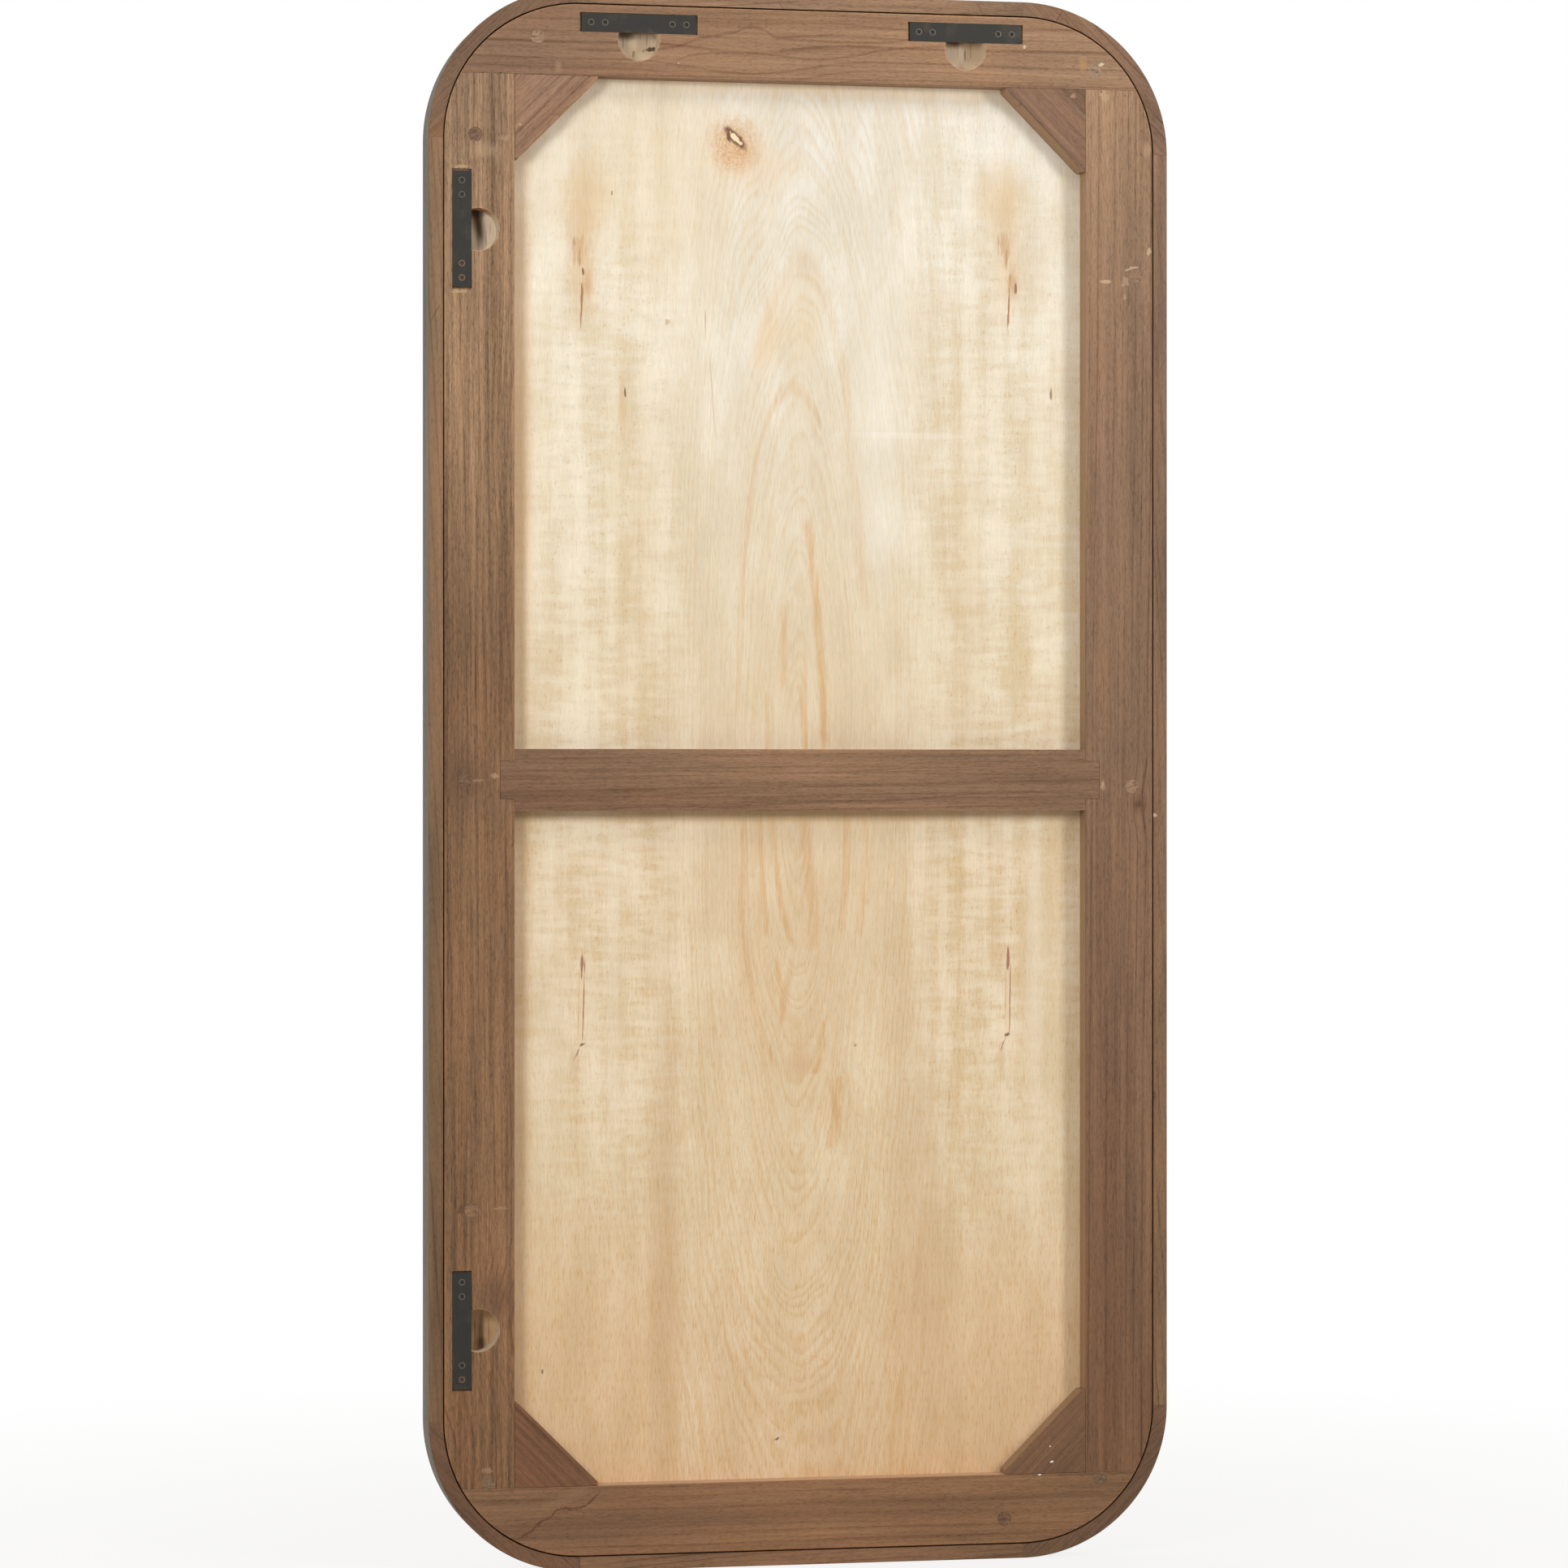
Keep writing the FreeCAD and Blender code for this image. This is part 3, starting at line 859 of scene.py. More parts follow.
@dataclass(frozen=True)
class PaleVeneer:
    """Rotary-cut pale face veneer of the plywood: nested ovals of growth lines round a heart."""

    tones: Tones
    marks: tuple[Mark, ...]
    depth: float
    veins: tuple[Vein, ...]
    knot: Knot
    heart: Pixel = (985.0, 925.0)
    oval: Pixel = (292.0, 1800.0)
    band: Pixel = (963.0, 1500.0)
    silk_room: Pixel = (900.0, 1150.0)
    silk_place: Pixel = (985.0, 800.0)
    silk_shade: Triple = (250.0, 239.0, 214.0)
    mottle_tint: Triple = (0.97, 0.93, 0.86)
    line_tint: Triple = (0.94, 0.87, 0.77)
    pore_tint: Triple = (0.89, 0.78, 0.66)
    stroke_tint: Triple = (0.95, 0.87, 0.77)
    band_tint: Triple = (0.965, 0.91, 0.85)
    speck_tint: Triple = (0.84, 0.66, 0.48)
    shimmer_tint: Triple = (0.96, 0.91, 0.8)
    line_count: float = 22.0
    sway: float = 0.24
    silk_start: Span = (0.08, 0.18)
    silk_end: Span = (0.8, 1.7)
    band_start: Span = (0.108, 0.12)
    band_foot: Span = (-0.6, -0.38)
    band_jag: float = 0.03
    seed: float = 4.0
    relief: float = 0.14 * MM

    def material(self, name: str) -> bpy.types.Material:
        """Build the finish.

        The ovals are the root of (p / a) squared plus (q / b) squared about the heart, shaken by noise, and
        the growth lines follow them by the part after the point. The silk is a pale shimmer of upright strips
        and level ripples with fine specks, which fills the room at both sides of the heart and fades
        downwards. Below it, short strokes show more, and the outer bands of the sheet are warmer.

        Args:
            name: The material's name.

        Returns:
            The material.
        """
        graph = Graph(bpy.data.materials.new(name), self.seed)
        ovals = Patch(self.heart, self.oval).reach(graph, self.depth)
        ovals = ovals + (Layer.VENEER_SWAY.read(graph) - 0.5) * self.sway
        grit = (Layer.VENEER_GRIT.read(graph) - 0.5) * 2.0
        broken = Layer.VENEER_BREAK.read(graph)
        fibre = Layer.VENEER_FIBRE.read(graph)
        pores = Layer.VENEER_PORE.read(graph).rise(0.57, 0.72)
        mottle = Layer.VENEER_MOTTLE.read(graph)
        strips = Layer.VENEER_STRIP.read(graph)
        ripple = Layer.VENEER_RIPPLE.read(graph)
        sides = Patch(self.silk_place, self.silk_room).reach(graph, self.depth)
        aside = abs(graph.x - VIEW.on_plane(self.heart, self.depth)[0])
        silk = aside.rise(*self.silk_start) * sides.rise(*self.silk_end, 1.0, 0.0)
        shift = graph.wave(ovals, 9.0, 1.0) * 5.0 + (Layer.VENEER_SHAKE.read(graph) - 0.5) * 0.9
        phase = (ovals * self.line_count + shift).fract()
        lines = phase.rise(0.25, 0.8) * phase.rise(0.8, 1.0, 1.0, 0.0) * broken.rise(0.3, 0.6, 0.35, 1.0)
        lines = lines * graph.z.rise(-0.3, 0.1, 1.0, 0.7)
        factor = (mottle - 0.5) * 0.22 + (fibre - 0.5) * 0.22 + (strips - 0.5) * 0.09 + 1.0
        colour = graph.ramp(graph.z, self.tones)
        colour = graph.tint(colour, mottle.rise(0.46, 0.62, 0.7, 0.0), self.mottle_tint)
        colour = graph.tint(colour, lines * aside.rise(0.1, 0.2, 1.0, 0.4), self.line_tint)
        colour = graph.tint(colour, pores * graph.z.rise(-0.4, 0.1, 1.0, 0.45), self.pore_tint)
        strokes = Layer.VENEER_STROKE.read(graph).rise(0.5, 0.66)
        colour = graph.tint(colour, strokes * graph.z.rise(-0.55, 0.1, 0.9, 0.35), self.stroke_tint)
        border = abs(graph.x - VIEW.on_plane(self.band, self.depth)[0]) + (mottle - 0.5) * self.band_jag
        outer = border.rise(*self.band_start) * graph.z.rise(*self.band_foot, 1.0, 0.0)
        colour = graph.tint(colour, outer, self.band_tint)
        specks = Layer.VENEER_SPECK.read(graph).rise(0.62, 0.72)
        colour = graph.tint(colour, specks * silk * 0.5, self.speck_tint)
        shimmer = strips * 0.42 + ripple * 0.38 + mottle * 0.2
        colour = graph.tint(colour, silk * shimmer.rise(0.36, 0.56, 1.0, 0.0), self.shimmer_tint)
        colour = graph.mix(silk * shimmer.rise(0.44, 0.62, 0.0, 0.38), colour, linear(self.silk_shade))
        breaks = broken.rise(0.36, 0.58, 0.5, 1.0)
        for vein in self.veins:
            colour = vein.over(graph, colour, self.depth, grit, breaks)
        # The veneer's marks include painted shadows in the recesses, painted warm shade along the frame and
        # painted lighter bands near the stiles.
        for mark in self.marks:
            colour = mark.over(graph, colour, self.depth, grit)
        colour = graph.scaled(self.knot.over(graph, colour, self.depth), factor)
        height = fibre * 0.4 - pores * 0.6 + ripple * silk * 0.4
        return graph.principled({
            "Base Color": colour, "Roughness": (mottle - 0.5) * 0.2 + 0.62, "Specular IOR Level": WOOD_GLOSS,
            "Normal": graph.bump(height, self.relief)})


@dataclass(frozen=True)
class BlackenedSteel:
    """Flat bar of blackened steel with a dull, slightly patchy sheen and fine handling scratches."""

    seed: float
    level: bool
    shade: Triple = (48.0, 46.0, 42.0)
    worn_shade: Triple = (78.0, 71.0, 60.0)
    relief: float = 0.08 * MM

    def material(self, name: str) -> bpy.types.Material:
        """Build the finish.

        Args:
            name: The material's name.

        Returns:
            The material.
        """
        graph = Graph(bpy.data.materials.new(name), self.seed)
        local = graph.turned(0.0 if self.level else 90.0)
        patches = Layer.STEEL_PATCH.read(graph)
        scratch = Layer.STEEL_SCRATCH.read(graph, local).rise(0.6, 0.72)
        speck = Layer.STEEL_SPECK.read(graph)
        colour = graph.mix(patches.rise(0.5, 0.78) * 0.6, linear(self.shade), linear(self.worn_shade))
        colour = graph.scaled(colour, (speck - 0.5) * 0.35 + scratch * 0.2 + 1.0)
        sheen = (patches - 0.5) * 0.35 + 0.52 - scratch * 0.08
        return graph.principled({
            "Base Color": colour, "Metallic": 0.7, "Roughness": sheen,
            "Normal": graph.bump(speck * 0.5 - scratch * 0.5, self.relief)})


@dataclass(frozen=True)
class ScrewSteel:
    """Plated screw steel, dulled, rusty and bright round each head's rim where the piece's own attributes
    say: the bright rim is partly rubbed metal and partly a painted highlight.
    """

    shade: Triple = (74.0, 70.0, 64.0)
    rust_shade: Triple = (84.0, 67.0, 50.0)
    rubbed_and_highlight_tint: Triple = (1.7, 1.65, 1.55)
    rust_attribute: str = "rust"
    rim_attribute: str = "rim"
    seed: float = 9.0
    relief: float = 0.03 * MM

    def material(self, name: str) -> bpy.types.Material:
        """Build the finish.

        Args:
            name: The material's name.

        Returns:
            The material.
        """
        graph = Graph(bpy.data.materials.new(name), self.seed)
        rust = graph.field("ShaderNodeAttribute", {"attribute_name": self.rust_attribute}, output="Fac")
        patches = Layer.SCREW_PATCH.read(graph)
        share = (rust + (patches - 0.5) * 0.9).rise(0.3, 0.7)
        colour = graph.mix(share, linear(self.shade), linear(self.rust_shade))
        rim = graph.field("ShaderNodeAttribute", {"attribute_name": self.rim_attribute}, output="Fac")
        # Bright ring round each head: partly rubbed metal, partly a painted highlight.
        colour = graph.tint(colour, (rim + (patches - 0.5) * 0.3).rise(0.68, 0.86), self.rubbed_and_highlight_tint)
        colour = graph.scaled(colour, (patches - 0.5) * 0.6 + 1.0)
        return graph.principled({
            "Base Color": colour, "Metallic": 0.95 - share * 0.6, "Roughness": share * 0.25 + 0.38,
            "Normal": graph.bump(patches, self.relief)})


@dataclass(frozen=True)
class PlugFiller:
    """Wood filler in the screw holes, tinted by the piece's own attribute, crumbly and flecked."""

    attribute: str = "tone"
    seed: float = 6.0
    relief: float = 0.25 * MM
    fleck_shade: Triple = (206.0, 180.0, 150.0)
    pit_shade: Triple = (74.0, 54.0, 40.0)

    def material(self, name: str) -> bpy.types.Material:
        """Build the finish.

        Args:
            name: The material's name.

        Returns:
            The material.
        """
        graph = Graph(bpy.data.materials.new(name), self.seed)
        tone = graph.field("ShaderNodeAttribute", {"attribute_name": self.attribute}, output="Color")
        crumbs = Layer.FILLER_CRUMB.read(graph)
        strokes = Layer.FILLER_STROKE.read(graph)
        colour = graph.scaled(tone, (crumbs - 0.5) * 0.7 + (strokes - 0.5) * 0.6 + 1.0)
        colour = graph.mix(crumbs.rise(0.58, 0.74) * 0.32, colour, linear(self.fleck_shade))
        colour = graph.mix((1.0 - strokes.rise(0.34, 0.46)) * 0.5, colour, linear(self.pit_shade))
        return graph.principled({
            "Base Color": colour, "Roughness": 0.72, "Specular IOR Level": 0.3,
            "Normal": graph.bump(crumbs, self.relief)})


@dataclass(frozen=True)
class SilveredGlass:
    """Mirror: silvering seen through clear glass, with a faint haze of dust."""

    shade: Triple = (238.0, 240.0, 240.0)
    seed: float = 2.0

    def material(self, name: str) -> bpy.types.Material:
        """Build the finish.

        Args:
            name: The material's name.

        Returns:
            The material.
        """
        graph = Graph(bpy.data.materials.new(name), self.seed)
        haze = Layer.GLASS_HAZE.read(graph)
        return graph.principled({
            "Base Color": linear(self.shade), "Metallic": 1.0, "Roughness": haze * 0.03 + 0.005})


def dress(node: str, material: bpy.types.Material) -> None:
    """Put a material on every slot of a CAD node.

    Args:
        node: The node's name.
        material: Its finish.
    """
    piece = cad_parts[node]
    if not piece.material_slots:
        piece.data.materials.append(material)
    for slot in piece.material_slots:
        slot.material = material
    LOG.info("dressed %s", node)


def flat_places(mesh: bpy.types.Mesh) -> np.ndarray:
    """Find a mesh's vertices in the back plane.

    Args:
        mesh: The mesh.

    Returns:
        Rows of x and z.
    """
    points = np.empty(len(mesh.vertices) * 3)
    mesh.vertices.foreach_get("co", points)
    return points.reshape(-1, 3)[:, [0, 2]]


def islands(node: str, reach: float) -> np.ndarray:
    """Centres of a node's separate solids in the back plane.

    Every vertex takes the number of the first vertex that lies within reach of it, so a solid that is
    smaller than the reach gets one number. A centre is the middle of the box of its vertices.

    Args:
        node: The node's name.
        reach: More than a solid's width and less than the room between two.

    Returns:
        Rows of x and z.
    """
    flat = np.unique(flat_places(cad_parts[node].data).round(5), axis=0)
    near = np.linalg.norm(flat[:, None] - flat[None], axis=2) < reach
    _, number = np.unique(near.argmax(1), return_inverse=True)
    low = np.full((number.max() + 1, 2), np.inf)
    high = -low
    np.minimum.at(low, number, flat)
    np.maximum.at(high, number, flat)
    return (low + high) / 2


def surface(name: str, points: np.ndarray) -> bpy.types.Object:
    """Make one mesh of closed sheets, whose columns run round and whose first and last rows are poles.

    Args:
        name: The piece's name.
        points: An array of copies, rows, columns and 3.

    Returns:
        The object, at the origin.
    """
    copies, rows, columns = points.shape[:3]
    index = np.arange(copies * rows * columns).reshape(copies, rows, columns)
    after = np.roll(index, -1, axis=2)
    quads = np.stack([index[:, :-1], after[:, :-1], after[:, 1:], index[:, 1:]], axis=-1).reshape(-1, 4)
    mesh = bpy.data.meshes.new(name)
    mesh.from_pydata(points.reshape(-1, 3).tolist(), [], quads.tolist())
    shell = bmesh.new()
    shell.from_mesh(mesh)
    bmesh.ops.remove_doubles(shell, verts=shell.verts, dist=1e-6)
    bmesh.ops.recalc_face_normals(shell, faces=shell.faces)
    shell.to_mesh(mesh)
    shell.free()
    mesh.polygons.foreach_set("use_smooth", np.ones(len(mesh.polygons), dtype=bool))
    mesh.set_sharp_from_angle(angle=SHARP_ANGLE)
    return add(name, mesh)


def paint(piece: bpy.types.Object, attribute: str, centres: np.ndarray, values: np.ndarray) -> None:
    """Give every vertex the value of the nearest centre, as a point attribute of the piece.

    Args:
        piece: The piece.
        attribute: The attribute's name.
        centres: Rows of x and z.
        values: One number or one colour for each centre.
    """
    nearest = np.linalg.norm(flat_places(piece.data)[:, None] - centres[None], axis=2).argmin(1)
    kind, key = ("FLOAT", "value") if values.ndim == 1 else ("FLOAT_COLOR", "color")
    piece.data.attributes.new(attribute, kind, "POINT").data.foreach_set(key, values[nearest].ravel())


def paint_reach(piece: bpy.types.Object, attribute: str, centres: np.ndarray, radius: float) -> None:
    """Give every vertex its distance from the nearest centre over a radius, as a point attribute.

    Args:
        piece: The piece.
        attribute: The attribute's name.
        centres: Rows of x and z.
        radius: The distance that counts as 1.
    """
    reach = np.linalg.norm(flat_places(piece.data)[:, None] - centres[None], axis=2).min(1) / radius
    piece.data.attributes.new(attribute, "FLOAT", "POINT").data.foreach_set("value", reach)


def recess_centres(*plates: str) -> tuple[tuple[float, float], ...]:
    """Find the bored recesses, which lie inwards of their bars' middles.

    Args:
        plates: The nodes of the hanger bars.

    Returns:
        Pairs of x and z.
    """
    centres = []
    for plate in plates:
        low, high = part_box(plate)
        middle = (low + high) / 2
        level = high.x - low.x > high.z - low.z
        right, down = (0.0, RECESS_STEP) if level else (RECESS_STEP, 0.0)
        centres.append((middle.x - right, middle.z - down))
    return tuple(centres)


def stand_in(piece: bpy.types.Object, node: str, material: bpy.types.Material) -> None:
    """Dress a new piece and let it stand for a CAD node.

    Args:
        piece: The piece.
        node: The node that it replaces.
        material: Its finish.
    """
    piece.data.materials.append(material)
    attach(piece, BODY)
    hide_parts(node)
    LOG.info("built %s for %s", piece.name, node)


RIM_GRAIN = Grain(gap=8.0 * MM, sway=8.0 * MM, drift=0.07, line=0.8, streak=1.2, comb=0.55, mottle=0.9)
CORNER_GRAIN = Grain(gap=4.5 * MM, sway=2.0 * MM, line=0.8, streak=0.7, comb=0.5, mottle=0.6)
BRACE_GRAIN = Grain(gap=11.0 * MM, sway=8.0 * MM, line=0.75, streak=0.85, comb=0.75)
TOP_GRAIN = Grain(gap=12.0 * MM, sway=7.0 * MM, line=0.7, comb=0.6)
BOTTOM_GRAIN = Grain(gap=13.0 * MM, sway=5.0 * MM, line=0.6, pore=0.22)
MID_GRAIN = Grain(gap=8.0 * MM, sway=3.0 * MM, drift=0.02, line=0.6)
LEFT_GRAIN = Grain(
    gap=8.0 * MM, sway=12.0 * MM, drift=0.02, line=0.8, streak=0.9, comb=1.3, fibre=0.8, pore=0.3, fleck=0.2)
RIGHT_GRAIN = Grain(
    gap=10.0 * MM, sway=5.0 * MM, drift=-0.008, line=1.0, onset=0.72, streak=0.8, comb=0.75)


@dataclass
class OuterRim:
    """Eight lengths of the outer rim: four straight sides and four quarter-round corners."""

    left_tones: Tones = (
        (-0.67, (126, 97, 71)), (-0.1, (124, 96, 70)), (0.25, (131, 102, 77)), (0.67, (132, 103, 78)))
    right_tones: Tones = (
        (-0.67, (142, 111, 81)), (0.0, (124, 97, 73)), (0.5, (121, 96, 76)), (0.67, (137, 109, 86)))
    top_tones: Tones = ((-0.24, (145, 117, 92)), (0.0, (150, 121, 96)), (0.24, (142, 110, 83)))
    bottom_tones: Tones = ((-0.24, (125, 94, 69)), (0.24, (128, 97, 72)))
    wash_shade: Triple = (111, 101, 84)
    corner_tones: tuple[tuple[str, float, Tones], ...] = (
        ("rim_corner_top_left", 135.0, (
            (0.672, (130, 98, 73)), (0.725, (116, 90, 69)), (0.83, (122, 93, 71)))),
        ("rim_corner_top_right", 45.0, (
            (0.672, (138, 108, 84)), (0.725, (126, 98, 77)), (0.83, (132, 102, 80)))),
        ("rim_corner_bottom_left", 45.0, (
            (-0.83, (122, 91, 68)), (-0.79, (107, 79, 58)), (-0.74, (105, 77, 57)), (-0.672, (122, 90, 67)))),
        ("rim_corner_bottom_right", 135.0, (
            (-0.83, (113, 86, 64)), (-0.75, (105, 79, 60)), (-0.672, (113, 85, 63)))))
    dowel_tones: Tones = ((-1.0, (196, 160, 118)), (1.0, (196, 160, 118)))
    side_seed: float = 11.0
    corner_seed: float = 21.0
    dowel_seed: float = 31.0
    marks: tuple[Mark, ...] = (
        Mark((1305, 20), (16, 2.0), 60.0, (92, 66, 48), 0.6, Border.CLEAN),
        Mark((1427, 147), (20, 2.0), -35.0, (92, 66, 48), 0.6, Border.CLEAN),
        Mark((962, 6), (14, 2.0), -50.0, (100, 74, 54), 0.5, Border.CLEAN),
        Mark((1207, 10), (16, 2.0), -60.0, (100, 74, 54), 0.5, Border.CLEAN),
        Mark((536, 386), (26, 2.0), 62.0, (98, 70, 50), 0.55, Border.CLEAN),
        Mark((1421, 1350), (8, 10), 0.0, (74, 52, 38), 0.6),
        Mark((1423, 1004), (5, 4), 0.0, (214, 186, 150), 0.8),
    )

    def dress(self) -> None:
        """Give every length its own wood, with its grain along it."""
        run_z, run_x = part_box("rim_left")[1].z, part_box("rim_top")[1].x
        sides = (
            ("rim_left", 90.0, self.left_tones, True, run_z),
            ("rim_right", 90.0, self.right_tones, True, run_z),
            ("rim_top", 0.0, self.top_tones, False, run_x),
            ("rim_bottom", 0.0, self.bottom_tones, False, run_x))
        for number, (node, turn, tones, upright, run) in enumerate(sides):
            wood = BrownWood(
                self.side_seed + number, turn, tones, upright, RIM_GRAIN, marks=self.marks, seams=(run,),
                wash_shade=self.wash_shade)
            dress(node, wood.material(f"{node}_wood"))
        for number, (node, turn, tones) in enumerate(self.corner_tones):
            wood = BrownWood(
                self.corner_seed + number, turn, tones, True, CORNER_GRAIN, marks=self.marks,
                wash_shade=self.wash_shade)
            dress(node, wood.material(f"{node}_wood"))
        beech = BrownWood(self.dowel_seed, 0.0, self.dowel_tones, grain=BRACE_GRAIN)
        dress("rim_dowels", beech.material("dowel_wood"))


@dataclass
class BackFrame:
    """Two rails, two stiles, a mid rail and four corner braces behind the plywood."""

    top_tones: Tones = (
        (-0.36, (157, 125, 97)), (-0.2, (157, 123, 94)), (0.0, (154, 120, 91)), (0.2, (142, 110, 84)),
        (0.36, (131, 101, 79)))
    bottom_tones: Tones = (
        (-0.36, (134, 101, 72)), (0.0, (149, 110, 78)), (0.2, (135, 100, 73)), (0.36, (138, 104, 76)))
    left_tones: Tones = (
        (-0.74, (133, 99, 70)), (-0.3, (132, 100, 72)), (0.15, (124, 94, 68)), (0.34, (150, 119, 89)),
        (0.55, (152, 121, 92)), (0.74, (146, 117, 91)))
    right_tones: Tones = (
        (-0.74, (120, 88, 64)), (-0.3, (128, 97, 74)), (0.15, (131, 103, 80)), (0.45, (141, 111, 87)),
        (0.74, (162, 130, 101)))
    mid_tones: Tones = ((-0.32, (134, 103, 78)), (0.0, (143, 111, 84)), (0.32, (125, 95, 73)))
    brace_shades: tuple[tuple[str, float, Triple], ...] = (
        ("brace_top_left", 135.0, (147, 115, 92)), ("brace_top_right", 45.0, (130, 100, 80)),
        ("brace_bottom_left", 45.0, (123, 86, 61)), ("brace_bottom_right", 135.0, (121, 90, 66)))
    # Pale inner walls: partly bare cut wood, partly painted light.
    wall_shade: Triple = (172, 140, 106)
    bottom_wall_shade: Triple = (222, 184, 150)
    brace_seed: float = 6.0
    top_veins: tuple[Vein, ...] = (
        Vein((
            (690, 60), (745, 62), (814, 60), (868, 46), (906, 40), (929, 34), (956, 46), (1000, 50),
            (1077, 53), (1127, 42)), 2.4 * MM, 0.5),
        Vein((
            (818, 88), (837, 73), (868, 66), (906, 65), (945, 67), (1000, 73), (1046, 70), (1096, 61),
            (1180, 57)), 1.8 * MM, 0.5),
        Vein(((650, 92), (900, 95), (1100, 99), (1330, 103)), 1.4 * MM, 0.45),
    )
    bottom_veins: tuple[Vein, ...] = (
        Vein((
            (637, 1896), (654, 1887), (666, 1875), (679, 1869), (687, 1860), (714, 1858), (725, 1852),
            (741, 1835)), 2.2 * MM, 0.95, 3.0 * MM),
    )
    mid_veins: tuple[Vein, ...] = (
        Vein((
            (650, 1000), (722, 998), (810, 994), (887, 994), (1010, 988), (1077, 987), (1231, 977),
            (1352, 975)), 1.6 * MM, 0.4),
        Vein(((700, 985), (860, 978), (1000, 970), (1180, 968)), 1.3 * MM, 0.35),
        Vein(((660, 958), (820, 950), (980, 952), (1140, 946), (1300, 944)), 1.2 * MM, 0.3),
    )
    top_marks: tuple[Mark, ...] = (
        Mark((688, 82), (7, 12), 0.0, (188, 156, 126), 0.3, Border.SOFT),
        Mark((836, 78), (1.6, 1.6), 0.0, (226, 206, 184), 0.8, Border.CLEAN),
        Mark((1262, 58), (4, 4), 0.0, (222, 196, 166), 0.8),
        Mark((595, 90), (3, 3), 0.0, (52, 36, 28), 0.9, Border.CLEAN),
        Mark((617, 90), (3, 3), 0.0, (52, 36, 28), 0.9, Border.CLEAN),
        Mark((1334, 79), (9, 16), 0.0, (192, 146, 96), 0.5, Border.SOFT),
        Mark((1356, 80), (9, 4), 25.0, (226, 208, 186), 0.7),
    )
    bottom_marks: tuple[Mark, ...] = (
        Mark((1281, 1817), (4.2, 1.8), 0.0, (240, 232, 222), 0.95, Border.CLEAN),
        Mark((900, 1872), (560, 26), 2.0, (104, 76, 57), 0.35, Border.SOFT),
        Mark((700, 1845), (60, 12), 28.0, (150, 118, 88), 0.35, Border.SOFT),
        Mark((1300, 1900), (150, 10), 8.0, (98, 70, 50), 0.35, Border.SOFT),
    )
    left_marks: tuple[Mark, ...] = (
        Mark((600, 185), (36, 16), 0.0, (186, 156, 124), 0.4, Border.SOFT),
        Mark((622, 170), (12, 6), 0.0, (192, 164, 132), 0.4, Border.SOFT),
        Mark((569, 205), (17, 4), 0.0, (192, 162, 122), 0.65),
        Mark((568, 359), (20, 4), 0.0, (190, 160, 122), 0.65),
        Mark((566, 1573), (17, 5), 0.0, (176, 142, 104), 0.7),
        Mark((586, 837), (1.6, 80), 0.0, (66, 46, 33), 0.8, Border.CLEAN),
        Mark((610, 956), (8, 6), 0.0, (176, 146, 116), 0.75),
        Mark((573, 961), (46, 60), 0.0, (94, 68, 50), 0.5, Border.SOFT),
        Mark((588, 962), (18, 4), 0.0, (158, 128, 98), 0.6),
        Mark((612, 1597), (46, 50), 0.0, (98, 70, 53), 0.55, Border.SOFT),
        Mark((617, 1489), (16, 3), 0.0, (168, 136, 104), 0.65),
        Mark((568.7, 1492), (9, 11), 0.0, (86, 60, 40), 0.65),
        Mark((600, 1812), (12, 7), 0.0, (164, 134, 104), 0.6),
    )
    right_marks: tuple[Mark, ...] = (
        Mark((1416, 310), (6, 9), 0.0, (214, 186, 152), 0.6),
        Mark((1394, 331), (20, 4), 12.0, (212, 184, 152), 0.55),
        Mark((1386, 347), (9, 14), 0.0, (200, 170, 138), 0.4),
        Mark((1386, 367), (4, 10), 0.0, (208, 178, 146), 0.5),
        Mark((1362, 347), (15, 4), 0.0, (214, 182, 148), 0.6),
        Mark((1360, 118), (10, 14), 0.0, (196, 164, 130), 0.5),
        Mark((1357, 113), (2.4, 2.4), 0.0, (66, 46, 36), 0.7, Border.CLEAN),
        Mark((1386, 118), (2, 2), 0.0, (72, 52, 40), 0.6, Border.CLEAN),
        Mark((1384, 105), (2, 2), 0.0, (72, 52, 40), 0.6, Border.CLEAN),
        Mark((1359, 968), (6, 11), 0.0, (198, 164, 132), 0.7),
        Mark((1403, 991), (20, 22), 0.0, (104, 70, 52), 0.5, Border.SOFT),
        Mark((1403, 991), (9, 8), 0.0, (74, 50, 38), 0.6, Border.SOFT),
        Mark((1414, 186), (10, 14), 0.0, (190, 156, 122), 0.45, Border.SOFT),
    )
    brace_marks: tuple[Mark, ...] = (
        Mark((1294, 1782), (1.9, 1.9), 0.0, (242, 236, 228), 0.9, Border.CLEAN),
        Mark((1296, 1801), (4.4, 2.4), 15.0, (246, 240, 234), 0.95, Border.CLEAN),
        Mark((1323, 118), (8, 5), 30.0, (184, 148, 118), 0.6),
        Mark((641, 153), (4, 3), 0.0, (196, 166, 136), 0.6),
    )
    left_bows: tuple[Bow, ...] = (
        Bow((625, 1640), (150, 240), 0.0, 26.0 * MM), Bow((570, 1790), (110, 200), 0.0, -14.0 * MM),
        Bow((640, 560), (120, 330), 0.0, 12.0 * MM), Bow((585, 168), (60, 110), 0.0, 5.0 * MM))
    top_bows: tuple[Bow, ...] = (
        Bow((925, 110), (330, 190), 0.0, 16.0 * MM), Bow((1160, 20), (300, 120), 0.0, 9.0 * MM))
    knot_bows: tuple[Bow, ...] = (Bow((1403, 985), (60, 120), 0.0, 5.0 * MM),)

